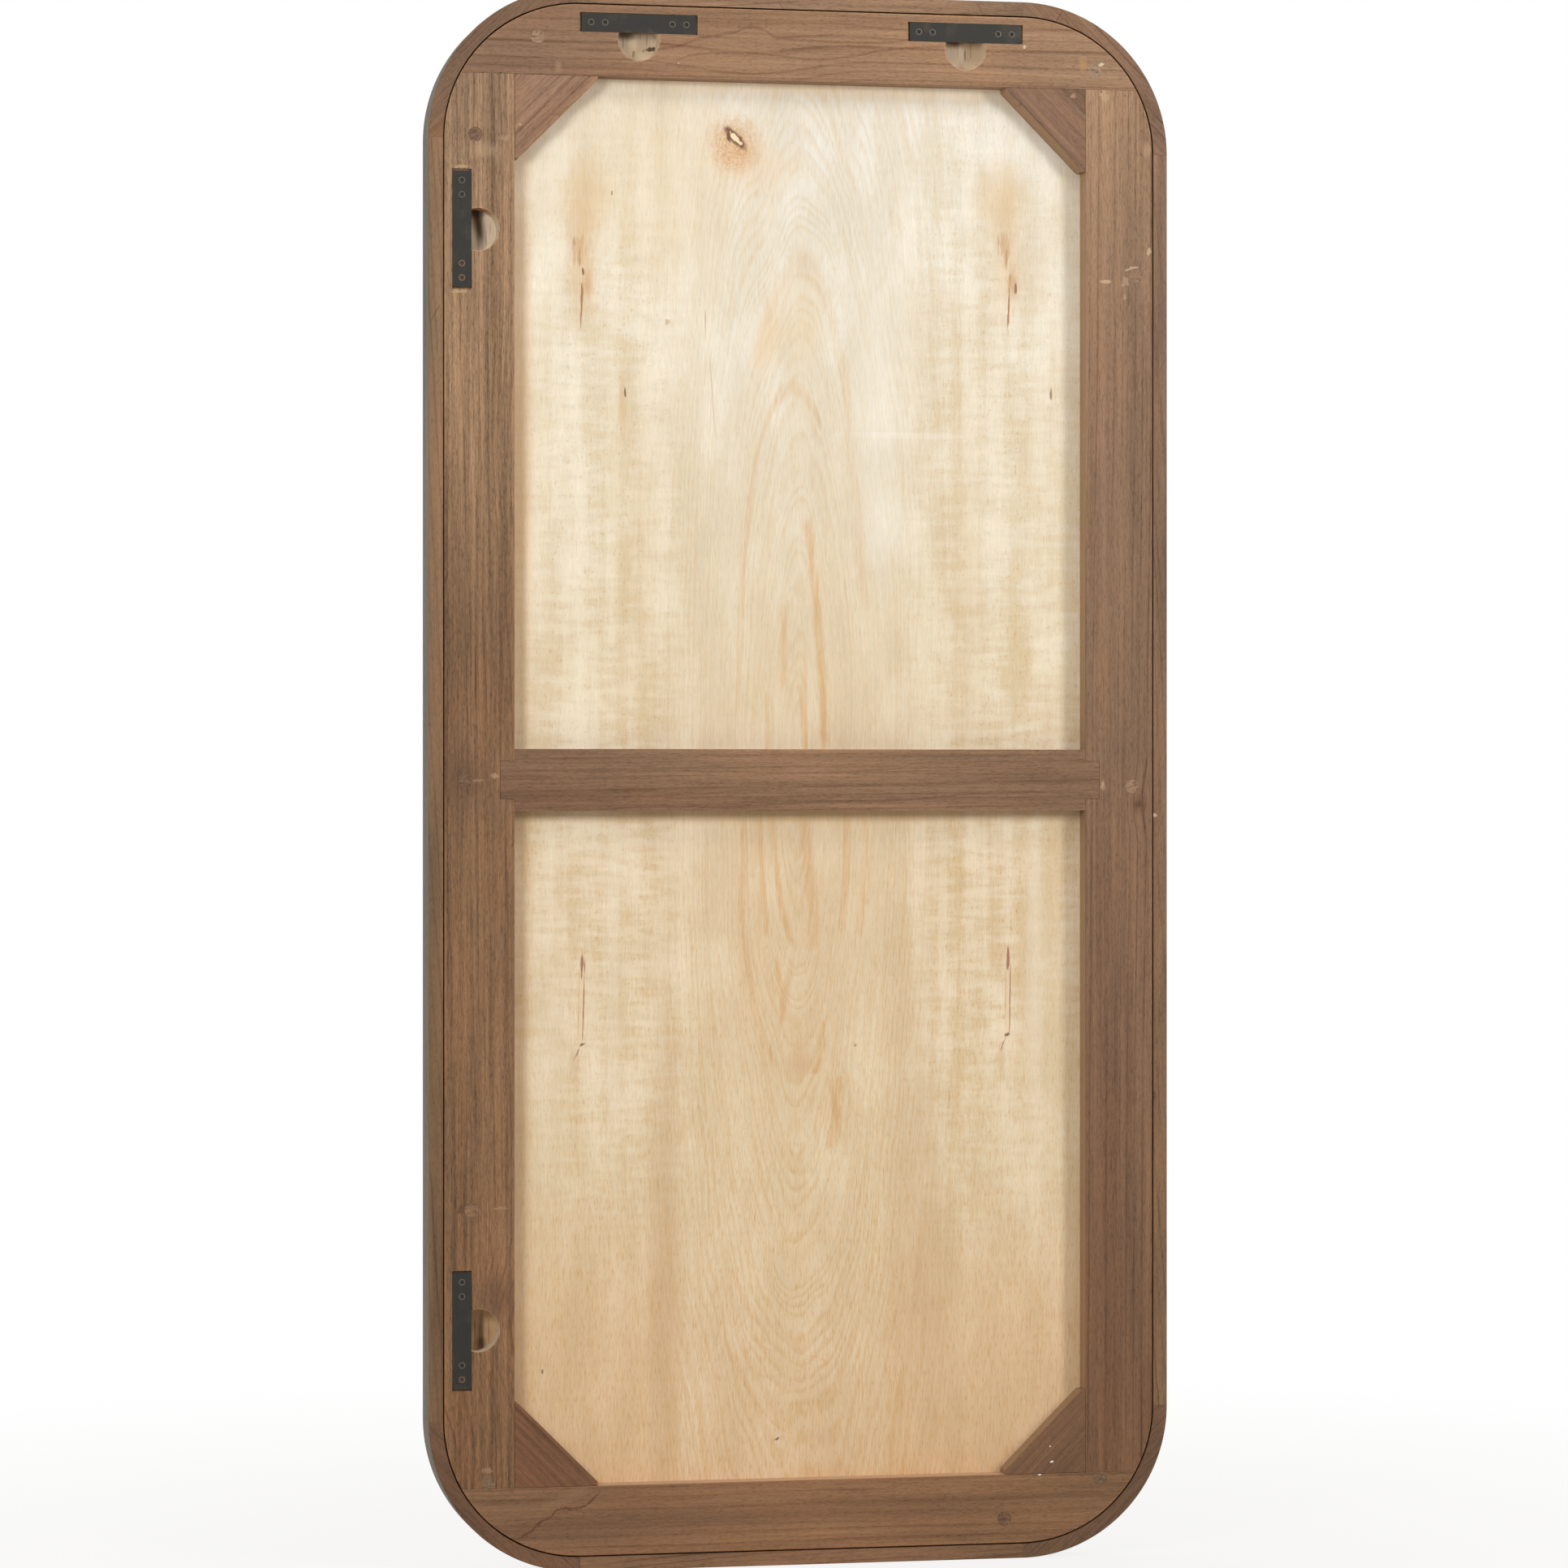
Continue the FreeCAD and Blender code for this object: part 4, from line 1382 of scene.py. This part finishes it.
    def dress(self) -> None:
        """Give every member its own wood."""
        top = recess_centres("hanger_plate_top_left", "hanger_plate_top_right")
        side = recess_centres("hanger_plate_side_upper", "hanger_plate_side_lower")
        half_x, half_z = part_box("left_stile")[1].x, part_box("top_rail")[1].z
        outline = (half_x, half_z, half_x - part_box("rim_top")[1].x)
        woods = {
            "top_rail": BrownWood(
                1.0, 0.0, self.top_tones, False, TOP_GRAIN, self.top_bows, self.top_veins, self.top_marks,
                bores=top, outline=outline),
            "bottom_rail": BrownWood(
                2.0, 0.0, self.bottom_tones, False, BOTTOM_GRAIN, (), self.bottom_veins, self.bottom_marks,
                outline=outline, bare_and_lit_wall_shade=self.bottom_wall_shade),
            "mid_rail": BrownWood(3.0, 0.0, self.mid_tones, False, MID_GRAIN, veins=self.mid_veins),
            "left_stile": BrownWood(
                4.0, 90.0, self.left_tones, True, LEFT_GRAIN, self.left_bows, marks=self.left_marks,
                bores=side, outline=outline),
            "right_stile": BrownWood(
                5.0, 90.0, self.right_tones, True, RIGHT_GRAIN, self.knot_bows, marks=self.right_marks,
                outline=outline, bare_and_lit_wall_shade=self.wall_shade),
        }
        for number, (node, turn, shade) in enumerate(self.brace_shades):
            tones = ((-1.0, shade), (1.0, shade))
            woods[node] = BrownWood(
                self.brace_seed + number, turn, tones, False, BRACE_GRAIN, marks=self.brace_marks,
                bare_and_lit_wall_shade=self.wall_shade)
        for node, wood in woods.items():
            dress(node, wood.material(f"{node}_wood"))


@dataclass
class PanelAndGlass:
    """Plywood back and the mirror in front of it."""

    tones: Tones = (
        (-0.75, (233, 206, 170)), (-0.42, (234, 216, 185)), (-0.1, (230, 211, 182)), (0.12, (231, 217, 191)),
        (0.4, (235, 226, 208)), (0.72, (235, 230, 219)))
    marks: tuple[Mark, ...] = (
        # Painted light: lighter bands of veneer near both stiles, where more light falls from the side lamps.
        Mark((668, 560), (34, 700), 0.0, (248, 236, 210), 0.26, Border.SOFT),
        Mark((1308, 560), (30, 700), 0.0, (248, 236, 210), 0.24, Border.SOFT),
        Mark((680, 1230), (50, 360), 0.0, (238, 222, 194), 0.35, Border.SOFT),
        Mark((1290, 1230), (50, 360), 0.0, (238, 222, 194), 0.35, Border.SOFT),
        Mark((1086, 660), (46, 62), 0.0, (244, 236, 222), 0.35, Border.SOFT),
        Mark((1082, 500), (56, 360), 0.0, (243, 236, 222), 0.4, Border.SOFT),
        Mark((840, 400), (70, 330), 0.0, (243, 230, 206), 0.22, Border.SOFT),
        Mark((755, 650), (16, 560), 0.0, (246, 234, 208), 0.25, Border.SOFT),
        Mark((1277, 650), (18, 560), 0.0, (246, 234, 208), 0.25, Border.SOFT),
        Mark((757, 1190), (20, 420), 0.0, (240, 226, 200), 0.4, Border.SOFT),
        Mark((1272, 1180), (18, 380), 0.0, (240, 226, 200), 0.4, Border.SOFT),
        Mark((818, 1560), (34, 620), 0.0, (198, 162, 120), 0.38, Border.SOFT),
        Mark((1142, 1570), (70, 620), 3.0, (200, 165, 124), 0.3, Border.SOFT),
        Mark((787, 720), (44, 460), 0.0, (216, 190, 150), 0.3, Border.SOFT),
        Mark((1186, 720), (44, 480), 0.0, (214, 188, 148), 0.3, Border.SOFT),
        Mark((985, 1200), (190, 1000), 0.0, (222, 186, 134), 0.12, Border.SOFT),
        # Recess floors: partly the plywood's own warmer colour, partly painted shade deep in the bores.
        Mark((790, 62), (60, 60), 0.0, (206, 172, 124), 0.5, Border.SOFT),
        Mark((1193, 66), (60, 60), 0.0, (200, 166, 120), 0.55, Border.SOFT),
        Mark((597, 289), (60, 60), 0.0, (206, 178, 144), 0.4, Border.SOFT),
        Mark((597, 1650), (60, 60), 0.0, (176, 136, 92), 0.65, Border.SOFT),
        Mark((800, 200), (230, 260), 0.0, (228, 203, 158), 0.34, Border.SOFT),
        Mark((930, 205), (90, 50), -6.0, (236, 200, 160), 0.3, Border.SOFT),
        Mark((897, 170), (5, 12), 10.0, (84, 54, 34), 0.8),
        # Painted shade: warm soft bands where the frame's shadow falls on the plywood, under the mid rail and
        # the top rail and beside the left stile, tinted like light bounced off the wood.
        Mark((985, 1004), (760, 18), 0.0, (224, 188, 140), 0.5, Border.SOFT),
        Mark((990, 106), (520, 22), -1.3, (226, 196, 150), 0.45, Border.SOFT),
        Mark((640, 540), (26, 760), 0.0, (224, 180, 128), 0.6, Border.SOFT),
        Mark((640, 1330), (24, 700), 0.0, (214, 170, 120), 0.45, Border.SOFT),
        Mark((722, 244), (52, 84), 0.0, (222, 190, 144), 0.55, Border.SOFT),
        Mark((1234, 246), (50, 80), 0.0, (222, 188, 142), 0.55, Border.SOFT),
        Mark((718, 330), (30, 120), 0.0, (220, 184, 136), 0.5, Border.SOFT),
        Mark((1240, 326), (30, 120), 0.0, (222, 188, 140), 0.42, Border.SOFT),
        Mark((712, 306), (14, 34), 0.0, (200, 154, 106), 0.45),
        Mark((714, 318), (2.2, 24), 0.0, (172, 124, 82), 0.45),
        Mark((708, 296), (2.0, 16), 0.0, (168, 122, 82), 0.5),
        Mark((1237, 304), (14, 34), 0.0, (196, 150, 102), 0.45),
        Mark((1240, 318), (2.2, 24), 0.0, (172, 124, 82), 0.45),
        Mark((1231, 298), (2.0, 18), 0.0, (168, 122, 82), 0.5),
        Mark((716.5, 374), (2.4, 52), -2.0, (160, 104, 64), 0.85),
        Mark((724, 350), (9, 32), 0.0, (206, 156, 110), 0.55, Border.SOFT),
        Mark((719, 335), (2.6, 8), 0.0, (120, 74, 46), 0.8),
        Mark((1243, 374), (2.3, 54), -3.0, (166, 108, 70), 0.85),
        Mark((1247, 350), (12, 28), 0.0, (206, 156, 108), 0.55, Border.SOFT),
        Mark((1251, 356), (3, 11), 0.0, (122, 84, 56), 0.75),
        Mark((767, 496), (8, 60), 0.0, (218, 176, 124), 0.4, Border.SOFT),
        Mark((770, 485), (3, 11), 0.0, (104, 68, 40), 0.8),
        Mark((1295, 487), (3, 11), 0.0, (130, 92, 62), 0.75),
        Mark((822, 397), (5, 7), 0.0, (188, 156, 112), 0.6),
        Mark((754, 238), (2.6, 6), 0.0, (140, 104, 70), 0.7),
        Mark((869, 396), (1.2, 34), 0.0, (176, 132, 90), 0.5),
        Mark((878, 490), (1.2, 110), 4.0, (196, 158, 114), 0.4),
        Mark((1115, 537), (130, 7), 0.0, (250, 244, 230), 0.25, Border.SOFT),
        Mark((1095, 534), (90, 2.5), 0.0, (250, 244, 230), 0.2, Border.SOFT),
        Mark((943, 424), (26, 70), -14.0, (230, 196, 148), 0.45, Border.SOFT),
        Mark((985, 400), (60, 90), 0.0, (232, 206, 164), 0.35, Border.SOFT),
        Mark((992, 870), (6, 120), 0.0, (222, 178, 128), 0.5, Border.SOFT),
        Mark((968, 1225), (8, 70), -10.0, (206, 156, 108), 0.4, Border.SOFT),
        Mark((985, 1308), (24, 28), 0.0, (208, 154, 106), 0.4, Border.SOFT),
        Mark((1029, 1365), (8, 60), 10.0, (208, 156, 106), 0.4, Border.SOFT),
        Mark((716, 1236), (7, 112), -2.0, (234, 206, 168), 0.6, Border.CLEAN),
        Mark((713, 1240), (1.1, 96), -1.5, (190, 146, 104), 0.5),
        Mark((719, 1238), (1.4, 92), -1.5, (144, 92, 58), 0.75),
        Mark((717, 1188), (3.4, 30), 0.0, (146, 82, 46), 0.8),
        Mark((717, 1287), (7, 3.2), 30.0, (96, 56, 34), 0.8),
        Mark((711, 1298), (2, 18), -25.0, (134, 84, 52), 0.65),
        Mark((708, 1312), (10, 40), 0.0, (208, 170, 126), 0.35, Border.SOFT),
        Mark((1242, 1228), (7, 108), -1.0, (234, 206, 168), 0.6, Border.CLEAN),
        Mark((1239, 1232), (1.1, 90), -1.0, (190, 146, 104), 0.5),
        Mark((1244.5, 1230), (1.4, 90), -1.0, (144, 92, 58), 0.75),
        Mark((1242, 1178), (3.4, 30), 0.0, (146, 82, 46), 0.8),
        Mark((1240, 1275), (7, 3.4), 25.0, (96, 56, 34), 0.8),
        Mark((1236, 1286), (2, 16), -20.0, (134, 84, 52), 0.65),
        Mark((1234, 1306), (10, 36), 0.0, (208, 170, 126), 0.35, Border.SOFT),
        # Top left recess: a painted shadow in its upper left, then streaks and a chip on its floor.
        Mark((770, 43), (22, 12), 0.0, (66, 46, 30), 0.8, Border.SOFT),
        Mark((781, 66), (3.5, 9), 0.0, (132, 100, 66), 0.6),
        Mark((768, 56), (1.4, 18), 0.0, (138, 108, 74), 0.55),
        Mark((789, 47), (1.4, 16), 0.0, (138, 108, 74), 0.55),
        Mark((797, 49), (1.4, 16), 0.0, (138, 108, 74), 0.55),
        Mark((802, 61), (15, 5), 12.0, (88, 62, 40), 0.9),
        # Top right recess: a painted shadow, then streaks on its floor.
        Mark((1174, 52), (20, 11), 0.0, (66, 46, 30), 0.8, Border.SOFT),
        Mark((1189, 68), (2.2, 20), 0.0, (96, 70, 46), 0.65),
        Mark((1180, 64), (1.4, 16), 0.0, (138, 108, 74), 0.5),
        Mark((1196, 62), (1.4, 18), 0.0, (138, 108, 74), 0.4),
        # Upper side recess: a painted shadow beside the bar, then streaks on its floor.
        Mark((589, 272), (11, 58), 8.0, (58, 40, 26), 0.9, Border.SOFT),
        Mark((585, 262), (17, 14), 0.0, (54, 38, 26), 0.85, Border.SOFT),
        Mark((604, 282), (1.3, 20), 0.0, (120, 92, 64), 0.5),
        Mark((599, 292), (1.3, 18), 0.0, (120, 92, 64), 0.5),
        # Lower side recess: a painted shadow beside the bar, then streaks on its floor.
        Mark((593, 1640), (6, 46), 0.0, (74, 52, 36), 0.65, Border.SOFT),
        Mark((593, 1655), (9, 14), 0.0, (58, 40, 28), 0.75, Border.SOFT),
        Mark((602, 1638), (1.3, 28), 0.0, (112, 84, 58), 0.5),
        Mark((585, 1640), (1.3, 28), 0.0, (112, 84, 58), 0.5),
        Mark((668, 1690), (2.4, 6), 0.0, (120, 84, 54), 0.75),
        Mark((957, 1773), (5, 2.2), 25.0, (112, 80, 52), 0.8),
        Mark((1054, 1288), (5, 5), 0.0, (150, 112, 76), 0.7),
    )
    knot: Knot = Knot((906, 170), (21, 7), -46.0, Patch((904, 178), (80, 88)))
    arch_tint: Triple = (0.9, 0.68, 0.46)
    arch_jag: float = 3.0 * MM
    arches: tuple[tuple[float, float, tuple[Pixel, ...]], ...] = (
        (13.0, 0.5, (
            (934, 556), (942, 528), (952, 502), (964, 484), (975, 478), (988, 482), (999, 498), (1010, 522),
            (1016, 548))),
        (5.0, 0.4, ((936, 530), (926, 610), (918, 680), (914, 740), (912, 800), (908, 890))),
        (8.0, 0.35, ((1036, 420), (1044, 490), (1049, 560), (1056, 620), (1062, 700), (1066, 760))),
        (7.0, 0.75, ((990, 630), (1001, 690), (1006, 740), (1010, 800), (1014, 870), (1017, 930))),
        (26.0, 0.3, ((930, 430), (948, 378), (966, 346), (985, 322), (1004, 340), (1024, 385), (1036, 440))),
        (5.0, 0.6, ((984, 840), (990, 890), (994, 930))),
        (5.0, 0.35, ((960, 740), (966, 790), (964, 850))),
        (4.0, 0.4, ((944, 850), (946, 890), (945, 930))),
        (6.0, 0.55, (
            (917, 995), (916, 1060), (915, 1120), (920, 1180), (930, 1240), (950, 1300), (972, 1332))),
        (6.0, 0.55, ((934, 995), (938, 1060), (942, 1120), (946, 1160))),
        (5.0, 0.5, ((950, 995), (956, 1070), (966, 1130), (978, 1170))),
        (10.0, 0.5, ((990, 1000), (998, 1080), (1003, 1140), (1000, 1176))),
        (6.0, 0.5, ((1042, 995), (1042, 1060), (1040, 1110), (1036, 1150))),
        (6.0, 0.45, ((1066, 995), (1065, 1060), (1062, 1110), (1058, 1160))),
        (5.0, 0.5, ((956, 1180), (962, 1220), (966, 1262))),
        (7.0, 0.65, ((1014, 1255), (1010, 1300), (1002, 1326))),
        (7.0, 0.65, ((1034, 1322), (1030, 1370), (1022, 1420))),
        (4.0, 0.3, (
            (918, 1400), (935, 1450), (955, 1500), (974, 1530), (995, 1518), (1012, 1490), (1024, 1460))),
        (4.0, 0.3, (
            (900, 1560), (920, 1610), (940, 1660), (960, 1695), (981, 1708), (1002, 1700), (1018, 1680))),
        (4.0, 0.3, ((893, 1650), (915, 1700), (940, 1740), (965, 1762), (1000, 1768))),
    )

    def dress(self) -> None:
        """Give the plywood its veneer and the glass its silvering."""
        veins = tuple(
            Vein(route, width * MM, strength, self.arch_jag, self.arch_tint)
            for width, strength, route in self.arches)
        veneer = PaleVeneer(self.tones, self.marks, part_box("back_panel")[1].y, veins, self.knot)
        dress("back_panel", veneer.material("plywood_veneer"))
        dress("mirror_glass", SilveredGlass().material("mirror_silvering"))


@dataclass
class Hangers:
    """Four blackened steel bars, each with four cross-head screws."""

    head_radius: float = 3.5 * MM
    shank_radius: float = 1.75 * MM
    length: float = 18.0 * MM
    pitch: float = 1.3 * MM
    thread: float = 0.32 * MM
    recess_arm: float = 2.2 * MM
    recess_width: float = 0.62 * MM
    recess_depth: float = 1.4 * MM
    recess_slope: float = 0.25 * MM
    recess_run: float = 0.9 * MM
    crown: float = 0.06 * MM
    neck: float = 0.4 * MM
    point: float = 2.6 * MM
    columns: int = 48
    head_rows: int = 18
    cone_rows: int = 4
    shank_rows: int = 84
    spacing: float = 8.0 * MM
    clean_share: float = 0.2
    rusty_share: float = 0.75
    bar_seed: float = 41.0
    rusty_pixels: tuple[Pixel, ...] = ((571, 326), (576, 344), (580, 1693), (567, 1700), (582, 235))

    def _head(self, angle: np.ndarray) -> np.ndarray:
        """Rows of radius and depth over the head and down its countersink.

        The head is flat, with a cross sunk into it: a point lies in the cross where its smaller distance to
        the two arms' middle lines is under half an arm's width. The cross is deepest in the middle.

        Args:
            angle: The columns' angles.

        Returns:
            An array of rows, columns and (radius, depth).
        """
        radius = np.linspace(0.0, self.head_radius, self.head_rows)[:, None] * np.ones_like(angle)
        side = np.minimum(abs(np.cos(angle)), abs(np.sin(angle))) * radius
        wall = np.clip((self.recess_width - side) / self.recess_slope, 0.0, 1.0)
        fall = np.clip((self.recess_arm - radius) / self.recess_run, 0.0, 1.0)
        crown = self.crown * (radius / self.head_radius) ** 4
        top = np.stack([radius, wall * fall * self.recess_depth + crown], axis=-1)
        drop = np.linspace(0.0, 1.0, self.cone_rows)[1:, None] * np.ones_like(angle)
        cone_radius = self.head_radius + (self.shank_radius - self.head_radius) * drop
        cone = np.stack([cone_radius, self.head_radius - cone_radius + self.crown], axis=-1)
        return np.concatenate([top, cone])

    def _shank(self, angle: np.ndarray) -> np.ndarray:
        """Rows of radius and depth down the threaded shank to its point.

        The radius is the core plus a ridge that climbs one pitch a turn, all drawn in towards the point.

        Args:
            angle: The columns' angles.

        Returns:
            An array of rows, columns and (radius, depth).
        """
        start = self.head_radius - self.shank_radius + self.neck
        depth = np.linspace(start, self.length, self.shank_rows)[:, None] * np.ones_like(angle)
        turn = (depth / self.pitch - angle / (2 * np.pi)) % 1.0
        ridge = np.clip(1.0 - abs(turn - 0.5) * 4.0, 0.0, 1.0)
        taper = np.clip((self.length - depth) / self.point, 0.0, 1.0)
        radius = (self.shank_radius - self.thread + self.thread * ridge) * taper
        return np.stack([radius, depth], axis=-1)

    def build(self) -> bpy.types.Object:
        """Make all the screws as one piece of turned surfaces, each with its cross at its own angle.

        Returns:
            The piece, which carries its rust and its distance from the heads' middles.
        """
        centres = islands("hanger_screws", self.spacing)
        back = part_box("hanger_screws")[1].y
        angle = np.linspace(0.0, 2 * np.pi, self.columns, endpoint=False)[None]
        rows = np.concatenate([self._head(angle), self._shank(angle)])
        twist = np.arange(len(centres))[:, None, None] * GOLDEN_ANGLE
        x = rows[None, ..., 0] * np.cos(angle + twist) + centres[:, 0, None, None]
        z = rows[None, ..., 0] * np.sin(angle + twist) + centres[:, 1, None, None]
        y = np.broadcast_to(back - rows[None, ..., 1], x.shape)
        screws = surface("cross_head_screws", np.stack([x, y, z], axis=-1))
        rusty = np.array([VIEW.on_plane(pixel, back) for pixel in self.rusty_pixels])
        near = np.linalg.norm(centres[:, None] - rusty[None], axis=2).min(1)
        rust = np.where(near < self.spacing, self.rusty_share, self.clean_share)
        paint(screws, ScrewSteel.rust_attribute, centres, rust)
        paint_reach(screws, ScrewSteel.rim_attribute, centres, self.head_radius)
        return screws

    def dress(self) -> None:
        """Finish the bars and put the screws in."""
        bars = ("top_left", "top_right", "side_upper", "side_lower")
        for number, name in enumerate(bars):
            steel = BlackenedSteel(self.bar_seed + number, name.startswith("top"))
            dress(f"hanger_plate_{name}", steel.material(f"hanger_plate_{name}_steel"))
        stand_in(self.build(), "hanger_screws", ScrewSteel().material("hanger_screw_steel"))


@dataclass(frozen=True)
class PlugLook:
    """Colour of the filler in one screw hole, by its pixel in the photograph."""

    at: Pixel
    shade: Triple


@dataclass
class Fasteners:
    """Filled screw holes of the back frame and the screws below them."""

    radius: float = 7.5 * MM
    depth: float = 7.9 * MM
    dish: float = 0.35 * MM
    columns: int = 64
    rows: int = 16
    reach: float = 20.0 * MM
    looks: tuple[PlugLook, ...] = (
        PlugLook((585, 168), (118, 90, 69)), PlugLook((573, 961), (112, 84, 63)),
        PlugLook((581, 1491), (134, 104, 76)), PlugLook((1399, 340), (142, 112, 88)),
        PlugLook((1395, 969), (150, 118, 92)), PlugLook((662, 45), (146, 117, 92)),
        PlugLook((1348, 88), (152, 126, 103)), PlugLook((602, 1828), (128, 101, 77)),
        PlugLook((1355, 1821), (116, 90, 68)), PlugLook((1237, 1871), (112, 82, 60)))

    def build(self) -> bpy.types.Object:
        """Make all the plugs as one piece.

        A plug's top is a dished disc, its height a sum of three waves in the angle and the radius that differ
        from plug to plug. Its wall is as straight as the bore and its foot is flat.

        Returns:
            The piece, which carries each plug's tone.
        """
        centres = islands("screw_plugs", self.reach)
        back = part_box("screw_plugs")[1].y
        angle = np.linspace(0.0, 2 * np.pi, self.columns, endpoint=False)[None, None]
        share = np.linspace(0.0, 1.0, self.rows)[None, :, None]
        phase = (np.arange(len(centres)) * GOLDEN_ANGLE)[:, None, None]
        waves = np.sin(3 * angle + phase) * share + np.sin(7 * share + 2 * angle - phase) * 0.6 * share
        waves = waves + np.cos(11 * share - 5 * angle + 2 * phase) * 0.4 * share
        top = self.dish * np.clip(0.45 + 0.25 * waves - 0.45 * share ** 6, 0.0, 1.0)
        reach = np.broadcast_to(self.radius * share, top.shape)
        wall = np.array([0.05, 1.0, 1.0])[None, :, None] * self.depth * np.ones_like(top[:, :3])
        foot = np.array([1.0, 1.0, 0.0])[None, :, None] * self.radius * np.ones_like(top[:, :3])
        sink = np.concatenate([top, wall], axis=1)
        around = np.concatenate([reach, foot], axis=1)
        x = around * np.cos(angle) + centres[:, 0, None, None]
        z = around * np.sin(angle) + centres[:, 1, None, None]
        plugs = surface("filled_screw_holes", np.stack([x, back - sink, z], axis=-1))
        places = np.array([VIEW.on_plane(look.at, back) for look in self.looks])
        paint(plugs, PlugFiller.attribute, places, np.array([linear(look.shade) for look in self.looks]))
        return plugs

    def dress(self) -> None:
        """Put the plugs in and finish the screws below them."""
        stand_in(self.build(), "screw_plugs", PlugFiller().material("screw_hole_filler"))
        dress("frame_screws", ScrewSteel().material("frame_screw_steel"))


@dataclass(frozen=True)
class SoftBox:
    """One soft studio lamp, by its place, the point that it faces, its size and its power in watts.

    A lamp that isn't mirrored lights the object but doesn't show in the glass.
    """

    name: str
    place: Triple
    aim: Triple
    size: Span
    power: float
    mirrored: bool = True

    def build(self) -> None:
        """Make the lamp."""
        data = bpy.data.lights.new(self.name, "AREA")
        data.shape = "RECTANGLE"
        data.size, data.size_y = self.size
        data.energy = self.power
        lamp = add(self.name, data)
        lamp.location = self.place
        lamp.visible_glossy = self.mirrored
        lamp.rotation_euler = facing(self.place, self.aim)


@dataclass
class Studio:
    """Plain pale floor, white surroundings, two soft boxes at each face of the mirror and a strip above."""

    white: tuple[float, ...] = (1.0, 1.0, 1.0, 1.0)
    floor_half: float = 14.0
    floor_rows: int = 9
    floor_room: float = 0.2 * MM
    floor_shade: Triple = (208.0, 200.0, 188.0)
    white_share: float = 0.85
    shadow_room: Span = (0.5, 1.8)
    ambient: float = 0.3
    lamps: tuple[SoftBox, ...] = (
        SoftBox("right_soft_box", (-2.33, 2.6, 0.95), (0.0, 0.0, 0.1), (0.75, 0.9), 45.5),
        SoftBox("left_soft_box", (2.03, 2.6, 0.93), (0.0, 0.0, 0.1), (0.75, 0.9), 42.0),
        SoftBox("top_strip", (0.0, 1.2, 1.9), (0.0, 0.0, 0.5), (1.6, 0.6), 8.0),
        SoftBox("front_right_soft_box", (1.3, -3.2, 1.3), (0.0, 0.0, 0.1), (1.0, 1.3), 48.0, False),
        SoftBox("front_left_soft_box", (-1.3, -3.2, 1.3), (0.0, 0.0, 0.1), (1.0, 1.3), 40.0, False),
    )

    @staticmethod
    def _seen(graph: Graph) -> Field:
        """Tell what the camera sees, itself or by gloss or through glass, from what only lights the object.

        Args:
            graph: The nodes of the floor or the surroundings.

        Returns:
            1 for what is seen and 0 for the rest.
        """
        path = graph.node("ShaderNodeLightPath")
        rays = ("Is Camera Ray", "Is Glossy Ray", "Is Transmission Ray")
        camera, glossy, through = (Field(graph, path.outputs[ray]) for ray in rays)
        return camera.larger(glossy).larger(through)

    def _paper(self) -> bpy.types.Material:
        """Build the floor's finish: mostly white to the eye, and wholly white far from the mirror.

        Returns:
            The material.
        """
        graph = Graph(bpy.data.materials.new("studio_floor_paper"))
        paper = graph.field("ShaderNodeBsdfDiffuse", inputs={"Color": linear(self.floor_shade)})
        white = graph.field("ShaderNodeEmission")
        middle = (0.0, 0.0, CAD_BOX[0].z)
        reach = graph.field(
            "ShaderNodeVectorMath", {"operation": "DISTANCE"}, {0: graph.point, 1: middle}, output="Value")
        near, far = self.shadow_room
        bounds = {"From Min": near, "From Max": far, "To Min": self.white_share}
        share = graph.field("ShaderNodeMapRange", inputs={"Value": reach, **bounds})
        factor = self._seen(graph) * share
        graph.close(graph.field("ShaderNodeMixShader", inputs={0: factor, 1: paper, 2: white}))
        return graph.owner

    def build_floor(self) -> None:
        """Make the floor under the mirror, white to the eye but with the mirror's shadow on it."""
        edge = np.linspace(-self.floor_half, self.floor_half, self.floor_rows)
        x, y = np.meshgrid(edge, edge)
        z = np.full_like(x, CAD_BOX[0].z - self.floor_room)
        points = np.stack([x, y, z], axis=-1)
        index = np.arange(x.size).reshape(x.shape)
        quads = np.stack([index[:-1, :-1], index[:-1, 1:], index[1:, 1:], index[1:, :-1]], axis=-1)
        mesh = bpy.data.meshes.new("studio_floor")
        mesh.from_pydata(points.reshape(-1, 3).tolist(), [], quads.reshape(-1, 4).tolist())
        mesh.materials.append(self._paper())
        floor = add("studio_floor", mesh)

    def build_world(self) -> None:
        """Light evenly from all round, and look white."""
        bpy.context.scene.world = bpy.data.worlds.new("studio_air")
        graph = Graph(bpy.context.scene.world)
        even = graph.field("ShaderNodeBackground", inputs={"Color": self.white, "Strength": self.ambient})
        white = graph.field("ShaderNodeBackground", inputs={"Color": self.white, "Strength": 1.0})
        graph.close(graph.field("ShaderNodeMixShader", inputs={0: self._seen(graph), 1: even, 2: white}))

    def build(self) -> None:
        """Make the floor, the surroundings and the lamps."""
        bpy.context.scene.view_settings.view_transform = "Standard"
        self.build_floor()
        self.build_world()
        for lamp in self.lamps:
            lamp.build()
            LOG.info("lit by %s", lamp.name)


def main() -> None:
    """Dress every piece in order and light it."""
    logging.basicConfig(level=logging.INFO, format="%(name)s: %(message)s")
    for assembly in (OuterRim(), BackFrame(), PanelAndGlass(), Hangers(), Fasteners()):
        assembly.dress()
    Studio().build()
    VIEW.build()


if __name__ == "__main__":
    main()
